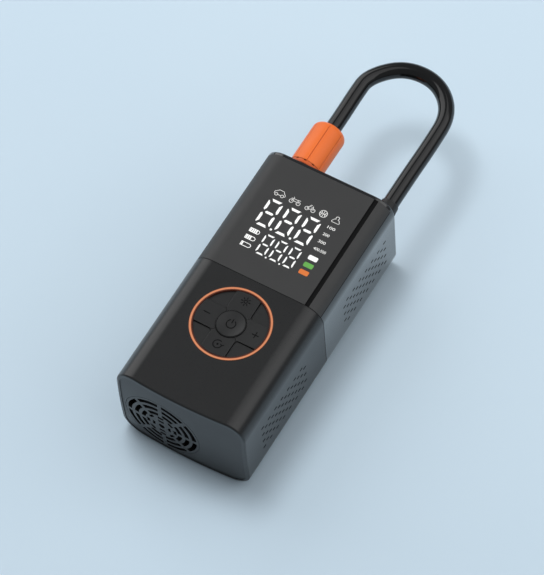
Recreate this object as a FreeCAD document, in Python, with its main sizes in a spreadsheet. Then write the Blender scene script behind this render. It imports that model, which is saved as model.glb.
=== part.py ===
"""Portable tire inflator: a battery air pump in a flat box with a hose loop for a handle.

The part lies on its back. X runs across it, Y from the fan end to the hose end, Z up to
the display side. The origin is the centre of the back face. Lengths are millimetres.
"""
import FreeCAD, Part
import math
import os
import Sketcher
from FreeCAD import Placement, Rotation, Vector

DOC = FreeCAD.newDocument("tire_inflator")
NODES = []

# Driving dimensions: name and value. Everything below is worked out from these.
SIZE_TABLE = [
    # Case
    ("case_width", 74.0),
    ("corner_radius", 10.6),
    ("wall", 2.0),
    ("seam_from_middle", 2.0),
    ("seam_chamfer", 0.25),
    ("rim_round", 1.0),
    ("front_panel_drop", 5.2),
    ("groove_inset", 9.3),
    ("groove_width", 2.5),
    ("groove_depth", 0.9),
    ("trim_thickness", 0.4),
    ("hose_cap_thickness", 2.0),
    ("hose_cap_round", 0.8),
    # Fan end: sleeve, cap and grille share one crowned face that stands out of the case's end plane
    ("fan_end_bulge", 3.2),
    ("fan_end_crown", 330.0),
    ("fan_cap_recess", 0.3),
    ("fan_cap_depth", 3.8),
    ("fan_cap_shell", 4.2),
    ("fan_cap_ledge", 1.2),
    ("fan_cap_rim", 1.6),
    ("grille_side_edge", 1.9),
    ("grille_back_edge", 0.9),
    ("grille_radius", 21.7),
    ("grille_gap", 0.2),
    ("grille_seat", 0.8),
    ("grille_slot", 2.35),
    ("grille_pitch", 4.15),
    ("grille_outer_slot", 19.1),
    ("grille_spoke", 2.3),
    ("grille_rim_gap", 0.4),
    ("grille_eye_radius", 1.7),
    # Side vents
    ("vent_start", 20.0),
    ("vent_pitch", 6.25),
    ("vent_row_pitch", 3.2),
    ("vent_low_z", 17.6),
    ("vent_slot_length", 2.3),
    ("vent_slot_height", 1.2),
    # Keypad
    ("keypad_y", -24.7),
    ("ring_radius", 21.0),
    ("ring_band", 1.9),
    ("ring_proud", 0.15),
    ("power_key_radius", 7.7),
    ("arm_half_width", 6.8),
    ("arm_corner", 1.8),
    ("key_gap", 0.2),
    ("power_dish_radius", 45.0),
    ("power_dish_depth", 0.55),
    ("key_dish_radius", 320.0),
    ("key_dish_depth", 0.5),
    ("pocket_depth", 0.9),
    ("pad_post_spot", 12.8),
    ("pad_post_radius", 1.6),
    ("pad_post_gap", 0.3),
    ("switch_spot", 13.2),
    ("switch_half", 1.6),
    ("key_travel", 0.5),
    ("key_spare", 0.1),
    ("membrane_thickness", 0.6),
    ("switch_height", 0.6),
    ("key_foot", 0.5),
    ("pad_flange", 1.5),
    ("board_thickness", 1.2),
    # Display
    ("display_half_width", 21.5),
    ("display_low_y", 14.0),
    ("display_high_y", 56.5),
    ("display_depth", 4.2),
    # Motor and fan
    ("motor_radius", 14.0),
    ("motor_length", 38.0),
    ("motor_wall", 1.0),
    ("motor_boss_radius", 5.0),
    ("motor_screw_spot", 8.0),
    ("motor_screw_radius", 1.2),
    ("shaft_radius", 1.15),
    ("running_gap", 0.05),
    ("fan_radius", 18.0),
    ("fan_hub_radius", 5.5),
    ("fan_depth", 7.0),
    ("fan_gap", 0.9),
    ("fan_motor_gap", 2.5),
    # Gears, crank and piston
    ("gear_module", 0.6),
    ("bracket_thickness", 2.5),
    ("gear_thickness", 4.0),
    ("gear_side_gap", 0.8),
    ("gear_floor_gap", 0.7),
    ("axle_radius", 1.5),
    ("crank_disc_radius", 7.5),
    ("crank_disc_thickness", 3.0),
    ("stroke", 9.0),
    ("crank_pin_radius", 1.75),
    ("crank_pin_length", 5.9),
    ("open_pivot_gap", 0.3),
    ("skirt_gap", 0.5),
    ("rod_thickness", 4.0),
    ("rod_width", 3.4),
    ("rod_small_eye", 3.0),
    ("rod_big_eye", 3.8),
    ("bore_radius", 7.5),
    ("piston_gap", 0.1),
    ("seal_gap", 0.02),
    ("piston_skirt", 4.5),
    ("piston_crown", 5.0),
    ("piston_slot_gap", 0.3),
    ("seal_height", 1.4),
    ("seal_depth", 1.2),
    ("head_clearance", 0.4),
    ("cylinder_wall", 1.8),
    ("fin_radius", 11.3),
    ("fin_thickness", 1.0),
    ("fin_pitch", 2.2),
    ("gasket_thickness", 0.4),
    ("head_thickness", 4.8),
    ("head_screw_radius", 0.9),
    ("head_screw_circle", 9.5),
    ("nipple_rise", 3.2),
    ("nipple_radius", 1.5),
    ("screw_top_height", 0.7),
    ("pump_board_gap", 0.7),
    ("pump_tray_gap", 3.0),
    ("shelf_gap", 0.6),
    ("tube_radius", 2.2),
    # Battery and boards
    ("cell_radius", 9.2),
    ("cell_length", 65.0),
    ("cell_pitch", 18.8),
    ("tray_wall", 1.2),
    ("tab_thickness", 0.2),
    ("cell_board_gap", 2.4),
    ("main_board_thickness", 1.6),
    ("sensor_inset", 8.4),
    ("usb_inset", 27.0),
    ("usb_half_width", 4.5),
    ("usb_height", 3.2),
    ("usb_depth", 7.5),
    ("usb_wall", 0.3),
    ("lamp_inset", 25.0),
    ("lamp_rise", 4.4),
    ("lamp_half_width", 8.0),
    ("lamp_half_height", 3.0),
    # Hose and chuck
    ("hose_inset", 5.4),
    ("hose_radius", 4.3),
    ("collar_radius", 5.2),
    ("collar_length", 4.4),
    ("fitting_radius", 2.6),
    ("fitting_bore", 1.2),
    ("chuck_inset", 20.4),
    ("chuck_radius", 9.2),
    ("chuck_gap", 0.4),
    ("chuck_ring_length", 2.2),
    ("chuck_sleeve_length", 26.2),
    ("chuck_round", 3.7),
    ("chuck_core_radius", 6.42),
    ("chuck_bore_gap", 0.08),
    ("flute_depth", 0.45),
    ("notch_depth", 0.9),
    ("notch_width", 1.4),
    ("notch_length", 0.6),
    ("post_radius", 3.8),
    ("post_length", 10.5),
    ("post_gap", 0.1),
]
FLUTE_COUNT = 7
FLUTE_TURN = math.radians(7.0)
NOTCH_COUNT = 12
NOTCH_TURN = math.radians(2.0)
PINION_TEETH = 12
GEAR_TEETH = 44
FAN_BLADES = 9
PRESSURE_ANGLE = math.radians(25.0)


class Size:
    """A length: its value in millimetres and the sheet expression that gives it."""

    def __init__(self, value, text):
        self.value = value
        self.text = text

    def _join(self, other, sign, value):
        return Size(value, f"({self.text} {sign} {size(other).text})")

    def __add__(self, other):
        return self._join(other, "+", self.value + size(other).value)

    def __sub__(self, other):
        return self._join(other, "-", self.value - size(other).value)

    def __mul__(self, other):
        return self._join(other, "*", self.value * size(other).value)

    def __truediv__(self, other):
        return self._join(other, "/", self.value / size(other).value)

    def __neg__(self):
        return Size(-self.value, f"(0 - {self.text})")


def size(value):
    """Make a plain number a Size; leave a Size as it is."""
    if isinstance(value, Size):
        return value
    return Size(float(value), f"{value:.6g}" if value >= 0 else f"(0 - {-value:.6g})")


def root(value):
    """Square root of a Size."""
    return Size(math.sqrt(value.value), f"sqrt({value.text})")


def build_sheet():
    """Put the driving dimensions in a spreadsheet and return them as Sizes by name."""
    sheet = DOC.addObject("Spreadsheet::Sheet", "Sizes")
    found = {}
    for row, (name, value) in enumerate(SIZE_TABLE, start=1):
        sheet.set(f"A{row}", name)
        sheet.set(f"B{row}", str(value))
        sheet.setAlias(f"B{row}", name)
        found[name] = Size(value, f"Sizes.{name}")
    DOC.recompute()
    return found


D = build_sheet()

# Stations along the depth: what lies on what, from the back wall up to the display side
WALL = D["wall"]
PITCH_GEAR = D["gear_module"] * (GEAR_TEETH / 2)
PITCH_PINION = D["gear_module"] * (PINION_TEETH / 2)
GEAR_OUTER = PITCH_GEAR + D["gear_module"]
PUMP_Z = WALL + D["gear_floor_gap"] + GEAR_OUTER
THROW = D["stroke"] / 2
BIG_EYE_Z = PUMP_Z - THROW
WRIST_Z = PUMP_Z + D["crank_disc_radius"] + D["skirt_gap"] + D["piston_skirt"]
SHELF_LOW = PUMP_Z + GEAR_OUTER + D["shelf_gap"]
SHELF_HIGH = SHELF_LOW + D["bracket_thickness"]
BORE_TOP = WRIST_Z + D["stroke"] + D["piston_crown"] + D["head_clearance"]
HEAD_LOW = BORE_TOP + D["gasket_thickness"]
HEAD_HIGH = HEAD_LOW + D["head_thickness"]
HOSE_Z = HEAD_LOW + D["nipple_rise"]
KEY_BOARD_LOW = HEAD_HIGH + D["screw_top_height"] + D["pump_board_gap"]
KEY_BOARD_TOP = KEY_BOARD_LOW + D["board_thickness"]
MEMBRANE_LOW = KEY_BOARD_TOP + D["switch_height"]
MEMBRANE_TOP = MEMBRANE_LOW + D["membrane_thickness"]
KEY_FOOT = MEMBRANE_TOP + D["key_spare"] + D["key_travel"]
KEY_SEAT = KEY_FOOT + D["key_foot"]
INNER_TOP = KEY_SEAT + D["pad_flange"]
TOP = INNER_TOP + WALL
PARTING = TOP - D["front_panel_drop"]
DISPLAY_LOW = INNER_TOP - D["display_depth"]
CELL_Z = WALL + D["tray_wall"] + D["cell_radius"]
BOARD_LOW = CELL_Z + D["cell_radius"] + D["cell_board_gap"]
BOARD_TOP = BOARD_LOW + D["main_board_thickness"]
LAMP_Z = BOARD_TOP + D["lamp_rise"]

# Stations along the length, measured from the fan end: fan, motor, gears, pump, battery, hose end
TO_FAN = D["fan_cap_depth"] + D["fan_gap"]
TO_MOTOR = TO_FAN + D["fan_depth"] + D["fan_motor_gap"]
TO_BRACKET = TO_MOTOR + D["motor_length"]
TO_GEARS = TO_BRACKET + D["bracket_thickness"] + D["gear_side_gap"]
TO_PUMP = (TO_GEARS + D["gear_thickness"] + D["crank_pin_length"] + D["open_pivot_gap"]
           + D["rod_thickness"] / 2)
TO_TRAY = TO_PUMP + D["bore_radius"] + D["pump_tray_gap"]
TRAY_LENGTH = D["cell_length"] + (D["tray_wall"] + D["tab_thickness"]) * 2
CASE_LENGTH = TO_TRAY + TRAY_LENGTH + D["hose_cap_thickness"]
FAN_END = -(CASE_LENGTH / 2)
HOSE_END = CASE_LENGTH / 2
FAN_TIP = FAN_END - D["fan_end_bulge"]
FAN_CAP_TIP = FAN_TIP + D["fan_cap_recess"]
FAN_CAP_SHELL = FAN_CAP_TIP + D["fan_cap_shell"]
FAN_CAP_BACK = FAN_END + D["fan_cap_depth"]
GRILLE_SEAT = FAN_CAP_BACK - D["grille_seat"]
FAN_FRONT = FAN_END + TO_FAN
MOTOR_BACK = FAN_END + TO_MOTOR
MOTOR_FRONT = FAN_END + TO_BRACKET
BRACKET_BACK = MOTOR_FRONT + D["bracket_thickness"]
GEAR_LOW = FAN_END + TO_GEARS
GEAR_HIGH = GEAR_LOW + D["gear_thickness"]
DISC_HIGH = GEAR_HIGH + D["crank_disc_thickness"]
PIN_TIP = GEAR_HIGH + D["crank_pin_length"]
ROD_LOW = PIN_TIP + D["open_pivot_gap"]
ROD_HIGH = ROD_LOW + D["rod_thickness"]
PUMP_Y = FAN_END + TO_PUMP
TRAY_LOW_Y = FAN_END + TO_TRAY
CELL_LOW_Y = TRAY_LOW_Y + D["tray_wall"] + D["tab_thickness"]
CAP_INNER = HOSE_END - D["hose_cap_thickness"]
SEAM = D["seam_from_middle"]

# Places across the width
HALF_X = D["case_width"] / 2
INNER_X = HALF_X - WALL
INNER_RADIUS = D["corner_radius"] - WALL
FLOOR_HALF = INNER_X - INNER_RADIUS
FAN_X = D["grille_radius"] + D["grille_side_edge"] - INNER_X
FAN_Z = D["grille_radius"] + D["grille_back_edge"] + WALL
CENTRES = PITCH_GEAR + PITCH_PINION
GEAR_RISE = FAN_Z - PUMP_Z
PUMP_X = FAN_X + root(CENTRES * CENTRES - GEAR_RISE * GEAR_RISE)
HOSE_X = HALF_X - D["hose_inset"]
CHUCK_X = D["chuck_inset"] - HALF_X
GROOVE_X = HALF_X - D["groove_inset"]
USB_X = HALF_X - D["usb_inset"]
LAMP_X = D["lamp_inset"] - HALF_X

# Round parts
GRILLE_OPEN = D["grille_outer_slot"] + D["grille_slot"] / 2 + D["grille_rim_gap"]
BARREL_RADIUS = D["bore_radius"] + D["cylinder_wall"]
PAD_RADIUS = D["ring_radius"] - D["ring_band"]
ARM_INNER = D["power_key_radius"] + D["key_gap"]
ARM_OUTER = PAD_RADIUS - D["key_gap"]
SLEEVE_BORE = D["chuck_core_radius"] + D["chuck_bore_gap"]

# Stations of the hose collar, dock post and chuck
COLLAR_END = HOSE_END + D["collar_length"]
RING_LOW = HOSE_END + D["chuck_gap"]
RING_HIGH = RING_LOW + D["chuck_ring_length"]
SLEEVE_HIGH = RING_HIGH + D["chuck_sleeve_length"]
CORE_LOW = RING_LOW + 1.2
CORE_TOP = SLEEVE_HIGH + 0.2
CORE_SHOULDER = SLEEVE_HIGH - 4.0
POST_TOP = HOSE_END + D["post_length"]


def bind(thing, prop, length):
    """Tie a property of an object to the sheet."""
    thing.setExpression(prop, size(length).text)


def place(thing, x, y, z):
    """Tie an object's position to the sheet, leaving its turn as it is."""
    bind(thing, "Placement.Base.x", x)
    bind(thing, "Placement.Base.y", y)
    bind(thing, "Placement.Base.z", z)


def box(name, x0, x1, y0, y1, z0, z1):
    """A block between three pairs of limits."""
    block = DOC.addObject("Part::Box", name)
    bind(block, "Length", size(x1) - x0)
    bind(block, "Width", size(y1) - y0)
    bind(block, "Height", size(z1) - z0)
    place(block, x0, y0, z0)
    return block


AXIS_TURN = {
    "X": Rotation(Vector(0, 1, 0), 90),
    "Y": Rotation(Vector(1, 0, 0), -90),
    "Z": Rotation(),
}


def rod(name, axis, radius, low, high, a, b):
    """A cylinder along an axis; a and b are its two other coordinates in X, Y, Z order."""
    bar = DOC.addObject("Part::Cylinder", name)
    bind(bar, "Radius", radius)
    bind(bar, "Height", size(high) - low)
    bar.Placement = Placement(Vector(), AXIS_TURN[axis])
    spot = {"X": (low, a, b), "Y": (a, low, b), "Z": (a, b, low)}[axis]
    place(bar, *spot)
    return bar


def fuse(name, *shapes):
    """Join shapes into one object."""
    joined = DOC.addObject("Part::MultiFuse", name)
    joined.Shapes = list(shapes)
    joined.Refine = True
    return joined


def common(name, *shapes):
    """Keep what the shapes share."""
    kept = DOC.addObject("Part::MultiCommon", name)
    kept.Shapes = list(shapes)
    return kept


def cut(name, base, *tools):
    """Take tools out of a base shape."""
    result = DOC.addObject("Part::Cut", name)
    result.Base = base
    result.Tool = tools[0] if len(tools) == 1 else fuse(f"{name}_tool", *tools)
    result.Refine = True
    return result


def group(name, *shapes):
    """Separate solids that share one node, such as identical screws."""
    bunch = DOC.addObject("Part::Compound", name)
    bunch.Links = list(shapes)
    return bunch


def shape_object(name, shape):
    """A piece whose form is computed from the sheet's values."""
    thing = DOC.addObject("Part::Feature", name)
    thing.Shape = shape
    return thing


def node(thing, label):
    """Name a finished sub-part; the label names its file."""
    thing.Label = label
    NODES.append(thing)
    return thing


def new_body(name):
    """An empty body for sketched features."""
    return DOC.addObject("PartDesign::Body", name)


def new_sketch(body, name, role, lift=0.0, offset=(0.0, 0.0)):
    """A sketch on one of its own body's planes, lifted along the plane's normal."""
    sketch = body.newObject("Sketcher::SketchObject", name)
    plane = next(f for f in body.Origin.OriginFeatures if f.Role == role)
    sketch.AttachmentSupport = [(plane, "")]
    sketch.MapMode = "FlatFace"
    bind(sketch, "AttachmentOffset.Base.x", offset[0])
    bind(sketch, "AttachmentOffset.Base.y", offset[1])
    bind(sketch, "AttachmentOffset.Base.z", lift)
    return sketch


def hold(sketch, kind, *where, to):
    """Add a driving constraint to a sketch and tie it to the sheet."""
    index = sketch.addConstraint(Sketcher.Constraint(kind, *where, size(to).value))
    sketch.setExpression(f"Constraints[{index}]", size(to).text)


def draw_circle(sketch, x, y, radius):
    """A circle at a point of the sketch."""
    centre = Vector(size(x).value, size(y).value, 0)
    index = sketch.addGeometry(Part.Circle(centre, Vector(0, 0, 1), size(radius).value))
    hold(sketch, "DistanceX", -1, 1, index, 3, to=x)
    hold(sketch, "DistanceY", -1, 1, index, 3, to=y)
    hold(sketch, "Radius", index, to=radius)


def draw_polygon(sketch, points):
    """A closed outline through points, each a pair of Sizes."""
    spots = [Vector(size(x).value, size(y).value, 0) for x, y in points]
    first = sketch.GeometryCount
    count = len(spots)
    for i in range(count):
        sketch.addGeometry(Part.LineSegment(spots[i], spots[(i + 1) % count]))
    for i in range(count):
        following = first + (i + 1) % count
        sketch.addConstraint(Sketcher.Constraint("Coincident", first + i, 2, following, 1))
    for i, (x, y) in enumerate(points):
        hold(sketch, "DistanceX", -1, 1, first + i, 1, to=x)
        hold(sketch, "DistanceY", -1, 1, first + i, 1, to=y)


def draw_rounded(sketch, x0, x1, y0, y1, radius):
    """A rectangle with equal round corners."""
    left, right = size(x0).value, size(x1).value
    low, high, r = size(y0).value, size(y1).value, size(radius).value
    up = Vector(0, 0, 1)
    first = sketch.GeometryCount
    runs = [
        ((left + r, low), (right - r, low)),
        ((right, low + r), (right, high - r)),
        ((right - r, high), (left + r, high)),
        ((left, high - r), (left, low + r)),
    ]
    corners = [(right - r, low + r), (right - r, high - r), (left + r, high - r), (left + r, low + r)]
    for i, (start, end) in enumerate(runs):
        sketch.addGeometry(Part.LineSegment(Vector(*start, 0), Vector(*end, 0)))
        turn = math.radians(-90 + 90 * i)
        circle = Part.Circle(Vector(*corners[i], 0), up, r)
        sketch.addGeometry(Part.ArcOfCircle(circle, turn, turn + math.pi / 2))
    for i in range(4):
        line, arc = first + 2 * i, first + 2 * i + 1
        following = first + (2 * i + 2) % 8
        sketch.addConstraint(Sketcher.Constraint("Tangent", line, 2, arc, 1))
        sketch.addConstraint(Sketcher.Constraint("Tangent", arc, 2, following, 1))
        sketch.addConstraint(Sketcher.Constraint("Vertical" if i % 2 else "Horizontal", line))
        if i:
            sketch.addConstraint(Sketcher.Constraint("Equal", first + 1, arc))
    hold(sketch, "Radius", first + 1, to=radius)
    hold(sketch, "DistanceY", -1, 1, first, 1, to=y0)
    hold(sketch, "DistanceX", -1, 1, first + 2, 1, to=x1)
    hold(sketch, "DistanceY", -1, 1, first + 4, 1, to=y1)
    hold(sketch, "DistanceX", -1, 1, first + 6, 1, to=x0)


def pad(body, sketch, length, reverse=False):
    """Raise a sketch into a solid."""
    feature = body.newObject("PartDesign::Pad", f"{sketch.Name}_pad")
    feature.Profile = sketch
    bind(feature, "Length", length)
    feature.Reversed = reverse
    sketch.Visibility = False
    return feature


def pocket(body, sketch, length=None):
    """Cut a sketch into a solid, against the plane's normal to a depth, or right through both ways."""
    feature = body.newObject("PartDesign::Pocket", f"{sketch.Name}_pocket")
    feature.Profile = sketch
    if length is None:
        feature.Type = "ThroughAll"
        feature.Midplane = True
    else:
        bind(feature, "Length", length)
    return feature


def polar(body, feature, sketch, count):
    """Repeat a feature round the sketch's own axis."""
    pattern = body.newObject("PartDesign::PolarPattern", f"{feature.Name}_round")
    pattern.Originals = [feature]
    pattern.Axis = (sketch, ["N_Axis"])
    pattern.Angle = 360
    pattern.Occurrences = count
    body.Tip = pattern
    return pattern


def outer_edges(feature, low, high, inset):
    """Names of the edges that lie between two stations and on the case's outer outline."""
    names = []
    for i, edge in enumerate(feature.Shape.Edges, start=1):
        limits = edge.BoundBox
        if limits.YMin < low - 1e-4 or limits.YMax > high + 1e-4:
            continue
        mid = edge.valueAt((edge.FirstParameter + edge.LastParameter) / 2)
        if not inside_case(mid.x, mid.z, inset):
            names.append(f"Edge{i}")
    return names


def inside_case(x, z, inset):
    """Whether a point of the cross-section lies more than inset inside the case's outline."""
    r = D["corner_radius"].value
    dx = abs(x) - (HALF_X.value - r)
    dz = abs(z - TOP.value / 2) - (TOP.value / 2 - r)
    if dx > 0 and dz > 0:
        return math.hypot(dx, dz) < r - inset
    return dx < r - inset and dz < r - inset


def edge_work(body, kind, feature, names, length):
    """Round or bevel edges of a feature."""
    work = body.newObject(f"PartDesign::{kind}", f"{body.Name}_{kind.lower()}")
    work.Base = (feature, names)
    bind(work, "Radius" if kind == "Fillet" else "Size", length)
    body.Tip = work
    return work


def case_tube(body, name, low, high):
    """A length of the case's rounded tube."""
    sketch = new_sketch(body, name, "XZ_Plane", lift=-size(low))
    draw_rounded(sketch, -HALF_X, HALF_X, 0.0, TOP, D["corner_radius"])
    draw_rounded(sketch, -INNER_X, INNER_X, WALL, INNER_TOP, INNER_RADIUS)
    return pad(body, sketch, size(high) - low, reverse=True)


def cut_vents(body, side):
    """Staggered rows of slots through both side walls; side is -1 for the fan half, 1 for the hose half."""
    half_long, half_tall = D["vent_slot_length"] / 2, D["vent_slot_height"] / 2
    for first_row, rows, shift in ((0, 4, 0.5), (1, 3, 0.0)):
        sketch = new_sketch(body, f"{body.Name}_vents_{first_row}", "YZ_Plane")
        z = D["vent_low_z"] + D["vent_row_pitch"] * first_row
        for i in range(7):
            y = SEAM + (D["vent_start"] + D["vent_pitch"] * (i + shift)) * side
            draw_polygon(sketch, [
                (y - half_long, z - half_tall), (y + half_long, z - half_tall),
                (y + half_long, z + half_tall), (y - half_long, z + half_tall)])
        slots = pocket(body, sketch)
        pattern = body.newObject("PartDesign::LinearPattern", f"{slots.Name}_rows")
        pattern.Originals = [slots]
        pattern.Direction = (sketch, ["V_Axis"])
        bind(pattern, "Length", D["vent_row_pitch"] * (2 * (rows - 1)))
        pattern.Occurrences = rows
        body.Tip = pattern


def turn_crown(body):
    """Turn the end of the sleeve to the crown's curve."""
    sketch = new_sketch(body, "sleeve_crown", "XY_Plane", lift=TOP / 2)
    reach, crown_radius = D["case_width"], D["fan_end_crown"]
    fall = crown_radius - root(crown_radius * crown_radius - reach * reach)
    tip, rim = Vector(0, FAN_TIP.value, 0), Vector(reach.value, (FAN_TIP + fall).value, 0)
    corner = Vector(reach.value, (FAN_TIP - WALL).value, 0)
    foot = Vector(0, corner.y, 0)
    circle = Part.Circle(Vector(0, (FAN_TIP + crown_radius).value, 0), Vector(0, 0, 1), crown_radius.value)
    lean = math.asin(reach.value / crown_radius.value)
    sketch.addGeometry(Part.ArcOfCircle(circle, -math.pi / 2, lean - math.pi / 2))
    sketch.addGeometry(Part.LineSegment(rim, corner))
    sketch.addGeometry(Part.LineSegment(corner, foot))
    sketch.addGeometry(Part.LineSegment(foot, tip))
    for one, one_end, other, other_end in ((0, 2, 1, 1), (1, 2, 2, 1), (2, 2, 3, 1), (3, 2, 0, 1)):
        sketch.addConstraint(Sketcher.Constraint("Coincident", one, one_end, other, other_end))
    sketch.addConstraint(Sketcher.Constraint("PointOnObject", 0, 3, -2))
    sketch.addConstraint(Sketcher.Constraint("Vertical", 3))
    sketch.addConstraint(Sketcher.Constraint("Horizontal", 2))
    sketch.addConstraint(Sketcher.Constraint("Vertical", 1))
    hold(sketch, "Radius", 0, to=crown_radius)
    hold(sketch, "DistanceY", -1, 1, 0, 1, to=FAN_TIP)
    hold(sketch, "DistanceY", -1, 1, 2, 2, to=FAN_TIP - WALL)
    hold(sketch, "DistanceX", -1, 1, 1, 1, to=reach)
    hold(sketch, "DistanceX", -1, 1, 0, 1, to=0.0)
    turned = body.newObject("PartDesign::Groove", "sleeve_crown_turned")
    turned.Profile = sketch
    turned.ReferenceAxis = (sketch, ["V_Axis"])
    turned.Angle = 360
    body.Tip = turned
    return turned


def make_lower_sleeve():
    """Seamless tube of the fan half, with the keypad's hole and the fan cap's ledge."""
    body = new_body("lower_sleeve_body")
    case_tube(body, "sleeve_section", FAN_TIP, SEAM)
    crowned = turn_crown(body)
    DOC.recompute()
    edge_work(body, "Fillet", crowned, outer_edges(crowned, FAN_TIP.value, 0.0, 0.5), D["rim_round"])
    DOC.recompute()
    tip = body.Tip
    edge_work(body, "Chamfer", tip, outer_edges(tip, SEAM.value, SEAM.value, 0.5), D["seam_chamfer"])
    ledge = new_sketch(body, "sleeve_ledge", "XZ_Plane", lift=-FAN_CAP_BACK)
    inset = D["fan_cap_ledge"]
    draw_rounded(ledge, -INNER_X, INNER_X, WALL, INNER_TOP, INNER_RADIUS)
    draw_rounded(ledge, inset - INNER_X, INNER_X - inset, WALL + inset, INNER_TOP - inset,
                 INNER_RADIUS - inset)
    pad(body, ledge, inset, reverse=True)
    hole = new_sketch(body, "sleeve_keypad_hole", "XY_Plane", lift=TOP)
    draw_circle(hole, 0.0, D["keypad_y"], D["ring_radius"])
    pocket(body, hole, WALL * 1.2)
    cut_vents(body, -1)
    node(body, "lower_sleeve")


def make_upper_shell():
    """Back and sides of the hose half."""
    body = new_body("upper_shell_body")
    tube = case_tube(body, "shell_section", SEAM, CAP_INNER)
    DOC.recompute()
    edge_work(body, "Chamfer", tube, outer_edges(tube, SEAM.value, SEAM.value, 0.5), D["seam_chamfer"])
    opening = new_sketch(body, "shell_front_opening", "XZ_Plane", lift=-SEAM)
    draw_polygon(opening, [(-HALF_X - 1.0, PARTING), (HALF_X + 1.0, PARTING),
                           (HALF_X + 1.0, TOP + 1.0), (-HALF_X - 1.0, TOP + 1.0)])
    pocket(body, opening, CAP_INNER - SEAM)
    cut_vents(body, 1)
    node(body, "upper_shell")


def make_front_panel():
    """Display-side cover of the hose half, with the long groove and its dark strip."""
    body = new_body("front_panel_body")
    tube = case_tube(body, "panel_section", SEAM, CAP_INNER)
    DOC.recompute()
    edge_work(body, "Chamfer", tube, outer_edges(tube, SEAM.value, SEAM.value, 0.5), D["seam_chamfer"])
    below = new_sketch(body, "panel_parting", "XZ_Plane", lift=-SEAM)
    draw_polygon(below, [(-HALF_X - 1.0, size(-1.0)), (HALF_X + 1.0, size(-1.0)),
                         (HALF_X + 1.0, PARTING), (-HALF_X - 1.0, PARTING)])
    pocket(body, below, CAP_INNER - SEAM)
    groove_left = GROOVE_X - D["groove_width"] / 2
    groove_right = GROOVE_X + D["groove_width"] / 2
    groove = new_sketch(body, "panel_groove", "XY_Plane", lift=TOP)
    draw_polygon(groove, [(groove_left, SEAM), (groove_right, SEAM),
                          (groove_right, CAP_INNER), (groove_left, CAP_INNER)])
    pocket(body, groove, D["groove_depth"])
    node(body, "front_panel")
    groove_floor = TOP - D["groove_depth"]
    strip = box("strip", groove_left, groove_right, SEAM, CAP_INNER,
                groove_floor, groove_floor + D["trim_thickness"])
    node(strip, "trim_strip")


def make_hose_end_cap():
    """Black plate that closes the hose end, with the port, lamp and fitting openings."""
    body = new_body("hose_end_cap_body")
    plate = new_sketch(body, "cap_plate", "XZ_Plane", lift=-CAP_INNER)
    draw_rounded(plate, -HALF_X, HALF_X, 0.0, TOP, D["corner_radius"])
    solid = pad(body, plate, D["hose_cap_thickness"], reverse=True)
    DOC.recompute()
    rim = outer_edges(solid, HOSE_END.value, HOSE_END.value, 0.5)
    edge_work(body, "Fillet", solid, rim, D["hose_cap_round"])
    holes = new_sketch(body, "cap_openings", "XZ_Plane", lift=-CAP_INNER)
    draw_circle(holes, HOSE_X, HOSE_Z, D["fitting_radius"])
    draw_circle(holes, CHUCK_X, HOSE_Z, D["fitting_radius"])
    draw_usb(holes)
    draw_lamp(holes)
    pocket(body, holes, D["hose_cap_thickness"] + 1.0)
    node(body, "hose_end_cap")


def draw_usb(sketch, inset=0.0):
    """The charging socket's section, or a smaller one inside it."""
    half, height = D["usb_half_width"] - inset, D["usb_height"] - size(inset) * 2
    low = BOARD_TOP + inset
    draw_rounded(sketch, USB_X - half, USB_X + half, low, low + height, height / 2 - 0.05)


def draw_lamp(sketch):
    """The work lamp's outline."""
    half_wide, half_tall = D["lamp_half_width"], D["lamp_half_height"]
    draw_rounded(sketch, LAMP_X - half_wide, LAMP_X + half_wide, LAMP_Z - half_tall, LAMP_Z + half_tall,
                 half_tall - 0.2)


def crown(name):
    """Large ball whose surface crowns the cap and the grille."""
    ball = DOC.addObject("Part::Sphere", name)
    bind(ball, "Radius", D["fan_end_crown"])
    place(ball, 0.0, FAN_CAP_TIP + D["fan_end_crown"], TOP / 2)
    return ball


def make_fan_end_cap():
    """Crowned plate inside the fan end's rim, hollow behind, with a round hole for the grille."""
    body = new_body("fan_cap_body")
    plate = new_sketch(body, "fan_cap_plate", "XZ_Plane", lift=-FAN_CAP_TIP)
    draw_rounded(plate, -INNER_X, INNER_X, WALL, INNER_TOP, INNER_RADIUS)
    pad(body, plate, FAN_CAP_BACK - FAN_CAP_TIP, reverse=True)
    crowned = common("fan_cap_crowned", body, crown("fan_cap_ball"))

    collar_radius = D["grille_radius"] + D["fan_cap_rim"]
    hole_radius = D["grille_radius"] + D["grille_gap"]
    hole = rod("fan_cap_hole", "Y", hole_radius, FAN_TIP, GRILLE_SEAT, FAN_X, FAN_Z)
    seat_hole = rod("grille_seat_hole", "Y", GRILLE_OPEN, FAN_TIP, FAN_CAP_BACK + 1.0, FAN_X, FAN_Z)
    hollow = new_body("fan_cap_hollow_body")
    inside = new_sketch(hollow, "fan_cap_hollow", "XZ_Plane", lift=-FAN_CAP_SHELL)
    rim = D["fan_cap_rim"]
    draw_rounded(inside, rim - INNER_X, INNER_X - rim, WALL + rim, INNER_TOP - rim, INNER_RADIUS - rim)
    pad(hollow, inside, FAN_CAP_BACK + 1.0 - FAN_CAP_SHELL, reverse=True)
    collar = rod("fan_cap_collar", "Y", collar_radius, FAN_CAP_SHELL - 1.0, FAN_CAP_BACK + 2.0,
                 FAN_X, FAN_Z)
    node(cut("fan_cap", crowned, hole, seat_hole, cut("fan_cap_hollow_cut", hollow, collar)), "fan_end_cap")


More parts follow.
